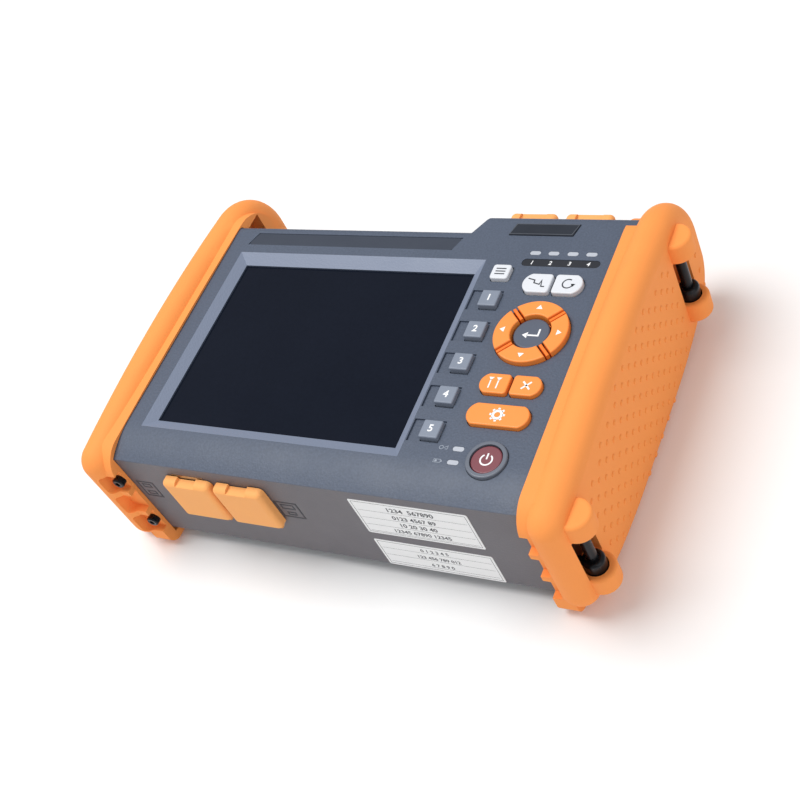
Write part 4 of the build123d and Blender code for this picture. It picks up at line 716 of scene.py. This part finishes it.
@dataclass
class RaisedDots:
    """Staggered raised dots on the outer side of each bumper, laid out by a node tree."""

    pitch_mm: float = 9.0
    radius_mm: float = 1.2
    height_mm: float = 0.5
    side_x: float = 111.0
    half_length: float = 72.0
    low_z: float = 6.2
    high_z: float = 60.2
    lug_rows: tuple[float, float] = (-71.8, 58.0)
    lug_clear: float = 12.0
    bow_m: float = 0.42
    back_bow_share: float = 0.8
    slack_m: float = 0.001
    dot_segments: int = 12
    dot_rings: int = 6

    def tree(self) -> bpy.types.NodeTree:
        """Builds the node tree that lays the dots out.

        Returns:
            The tree, with inputs Side, Pitch, Radius, Height, Low, High, Half Length, Lug Low, Lug High
            and Lug Clear.
        """
        tree = bpy.data.node_groups.new("raised_dots", "GeometryNodeTree")
        for name in ("Side", "Pitch", "Radius", "Height", "Low", "High", "Half Length", "Lug Low", "Lug High",
                     "Lug Clear"):
            tree.interface.new_socket(name, in_out="INPUT", socket_type="NodeSocketFloat")
        tree.interface.new_socket("Geometry", in_out="OUTPUT", socket_type="NodeSocketGeometry")
        given = add_node(tree, "NodeGroupInput").outputs

        def sum_up(operation: str, a: bpy.types.NodeSocket | float,
                   b: bpy.types.NodeSocket | float) -> bpy.types.NodeSocket:
            """One step of arithmetic."""
            return add_node(tree, "ShaderNodeMath", {"operation": operation}, {0: a, 1: b}).outputs[0]

        length = sum_up("MULTIPLY", given["Half Length"], 2.0)
        rise = sum_up("SUBTRACT", given["High"], given["Low"])
        grids = []
        for shift in (0.0, 0.5):
            fence = 1.0 - shift * 2
            steps_y = sum_up("FLOOR", sum_up("DIVIDE", length, given["Pitch"]), 0.0)
            count_y = sum_up("ADD", steps_y, fence)
            steps_z = sum_up("FLOOR", sum_up("DIVIDE", rise, given["Pitch"]), 0.0)
            count_z = sum_up("ADD", steps_z, fence)
            size_y = sum_up("MULTIPLY", sum_up("SUBTRACT", count_y, 1.0), given["Pitch"])
            size_z = sum_up("MULTIPLY", sum_up("SUBTRACT", count_z, 1.0), given["Pitch"])
            grid = add_node(tree, "GeometryNodeMeshGrid", {},
                            {"Size X": size_z, "Size Y": size_y, "Vertices X": count_z, "Vertices Y": count_y})
            grids.append(grid.outputs["Mesh"])
        joined = add_node(tree, "GeometryNodeJoinGeometry")
        for grid in grids:
            tree.links.new(grid, joined.inputs[0])
        middle = sum_up("MULTIPLY", sum_up("ADD", given["Low"], given["High"]), 0.5)
        place = add_node(tree, "ShaderNodeCombineXYZ", {}, {"X": given["Side"], "Z": middle})
        stood = add_node(tree, "GeometryNodeTransform", {},
                         {"Geometry": joined.outputs[0], "Translation": place.outputs[0],
                          "Rotation": (0.0, -math.pi / 2, 0.0)})
        position = add_node(tree, "GeometryNodeInputPosition")
        spot = add_node(tree, "ShaderNodeSeparateXYZ", {}, {0: position.outputs[0]})
        away = []
        for name in ("Lug Low", "Lug High"):
            gap = sum_up("ABSOLUTE", sum_up("SUBTRACT", spot.outputs["Y"], given[name]), 0.0)
            away.append(add_node(tree, "FunctionNodeCompare", {"operation": "GREATER_THAN"},
                                 {0: gap, 1: given["Lug Clear"]}).outputs[0])
        # The side is a little lower towards both ends, so the corners of the field stay bare
        bow = sum_up("DIVIDE", sum_up("MULTIPLY", spot.outputs["Y"], spot.outputs["Y"]), self.bow_m)
        inside = add_node(tree, "FunctionNodeCompare", {"operation": "LESS_THAN"},
                          {0: sum_up("ADD", spot.outputs["Z"], bow),
                           1: sum_up("ADD", given["High"], self.slack_m)})
        above = add_node(tree, "FunctionNodeCompare", {"operation": "GREATER_THAN"},
                         {0: sum_up("SUBTRACT", spot.outputs["Z"],
                                    sum_up("MULTIPLY", bow, self.back_bow_share)),
                          1: sum_up("SUBTRACT", given["Low"], self.slack_m)})
        keep = away[0]
        for other in (away[1], inside.outputs[0], above.outputs[0]):
            keep = add_node(tree, "FunctionNodeBooleanMath", {"operation": "AND"},
                            {0: keep, 1: other}).outputs[0]
        ball = add_node(tree, "GeometryNodeMeshUVSphere", {},
                        {"Segments": self.dot_segments, "Rings": self.dot_rings, "Radius": 1.0})
        squash = add_node(tree, "ShaderNodeCombineXYZ", {},
                          {"X": given["Height"], "Y": given["Radius"], "Z": given["Radius"]})
        dot = add_node(tree, "GeometryNodeTransform", {},
                       {"Geometry": ball.outputs["Mesh"], "Scale": squash.outputs[0]})
        dots = add_node(tree, "GeometryNodeInstanceOnPoints", {},
                        {"Points": stood.outputs[0], "Selection": keep, "Instance": dot.outputs[0]})
        real = add_node(tree, "GeometryNodeRealizeInstances", {}, {0: dots.outputs[0]})
        dressed = add_node(tree, "GeometryNodeSetMaterial", {},
                           {"Geometry": real.outputs[0], "Material": BUMPER.material()})
        add_node(tree, "NodeGroupOutput", {}, {0: dressed.outputs[0]})
        return tree

    def build(self) -> None:
        """Lays the dots out on both bumpers as plain meshes."""
        tree = self.tree()
        values = {"Pitch": self.pitch_mm, "Radius": self.radius_mm, "Height": self.height_mm, "Low": self.low_z,
                  "High": self.high_z, "Half Length": self.half_length, "Lug Low": self.lug_rows[0],
                  "Lug High": self.lug_rows[1], "Lug Clear": self.lug_clear}
        for name, side in (("left_bumper_dots", -1), ("right_bumper_dots", 1)):
            seed = bpy.data.objects.new(name + "_seed", bpy.data.meshes.new(name + "_seed"))
            bpy.context.scene.collection.objects.link(seed)
            modifier = seed.modifiers.new("dots", "NODES")
            modifier.node_group = tree
            for item in tree.interface.items_tree:
                if item.in_out == "INPUT":
                    value = self.side_x * side if item.name == "Side" else values[item.name]
                    modifier[item.identifier] = value * MM
            mesh = bpy.data.meshes.new_from_object(
                seed.evaluated_get(bpy.context.evaluated_depsgraph_get()))
            bpy.data.objects.remove(seed)
            mesh.name = name
            for face in mesh.polygons:
                face.use_smooth = True
            dots = bpy.data.objects.new(name, mesh)
            bpy.context.scene.collection.objects.link(dots)
            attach(dots, "casing")
            log.info("%s: %d faces", name, len(mesh.polygons))


@dataclass
class Studio:
    """Pale floor, soft light and the camera at the photo's view."""

    camera_mm: tuple[float, float, float] = (290.46, -288.23, 427.57)
    right: tuple[float, float, float] = (0.85753, 0.36682, -0.36067)
    down: tuple[float, float, float] = (0.08176, -0.78938, -0.60844)
    ahead: tuple[float, float, float] = (-0.50789, 0.49227, -0.70691)
    focal_px: float = 1341.6
    frame_px: float = 800.0
    sky: float = 0.48
    key_watts: float = 17.0
    fill_watts: float = 3.0
    floor_reach_m: float = 4.0
    key_place: tuple[float, float, float] = (-0.45, -0.05, 1.4)
    fill_place: tuple[float, float, float] = (1.1, -0.5, 0.8)

    def floor(self) -> None:
        """A wide pale floor under the instrument."""
        pale = Finish("floor_pale", "#f6f6f6", Grain.MATT, roughness=0.9, specular=0.1, grain_mm=4,
                      depth_mm=0.02, wander=0.004, wander_mm=400)
        mesh = bpy.data.meshes.new("floor")
        r = self.floor_reach_m
        mesh.from_pydata([(-r, -r, 0), (r, -r, 0), (r, r, 0), (-r, r, 0)], [], [(0, 1, 2, 3)])
        mesh.materials.append(pale.material())
        floor = bpy.data.objects.new("floor", mesh)
        bpy.context.scene.collection.objects.link(floor)

    def world(self) -> None:
        """An even pale sky; the camera and glossy rays see it white."""
        world = bpy.data.worlds.new("studio")
        bpy.context.scene.world = world
        world.use_nodes = True
        tree = world.node_tree
        tree.nodes.clear()
        rays = add_node(tree, "ShaderNodeLightPath")
        level = add_node(tree, "ShaderNodeMapRange", {},
                         {"Value": rays.outputs["Is Camera Ray"], "To Min": self.sky, "To Max": 1.0})
        light = add_node(tree, "ShaderNodeBackground", {},
                         {"Color": linear("#ffffff"), "Strength": level.outputs[0]})
        add_node(tree, "ShaderNodeOutputWorld", {}, {"Surface": light.outputs[0]})

    def lamp(self, name: str, place: tuple[float, float, float], size: float, watts: float) -> None:
        """A square soft lamp that looks at the instrument."""
        data = bpy.data.lights.new(name, "AREA")
        data.shape, data.size, data.energy = "SQUARE", size, watts
        lamp = bpy.data.objects.new(name, data)
        bpy.context.scene.collection.objects.link(lamp)
        toward = Vector((0, 0, 0.04)) - Vector(place)
        lamp.matrix_world = Matrix.Translation(place) @ toward.to_track_quat("-Z", "Y").to_matrix().to_4x4()

    def camera(self) -> None:
        """The camera, placed by its measured axes."""
        data = bpy.data.cameras.new("camera")
        data.sensor_fit, data.sensor_width = "HORIZONTAL", SENSOR_MM
        data.lens = self.focal_px / self.frame_px * SENSOR_MM
        data.clip_start, data.clip_end = 0.01, 50.0
        camera = bpy.data.objects.new("camera", data)
        bpy.context.scene.collection.objects.link(camera)
        axes = Matrix((self.right, [-v for v in self.down], [-v for v in self.ahead])).transposed().to_4x4()
        camera.matrix_world = Matrix.Translation(Vector(self.camera_mm) * MM) @ axes
        bpy.context.scene.camera = camera

    def build(self) -> None:
        """Builds floor, light and camera."""
        self.floor()
        self.world()
        self.lamp("key_light", self.key_place, 0.9, self.key_watts)
        self.lamp("fill_light", self.fill_place, 1.0, self.fill_watts)
        self.camera()
        bpy.context.scene.view_settings.view_transform = "Standard"
        log.info("studio: floor, sky, two lamps and the camera")


def main() -> None:
    """Builds the looks in order."""
    Solids().build()
    KeyMarks().build()
    PanelMarks().build()
    BottomMarks().build()
    RaisedDots().build()
    Studio().build()


if __name__ == "__main__":
    main()
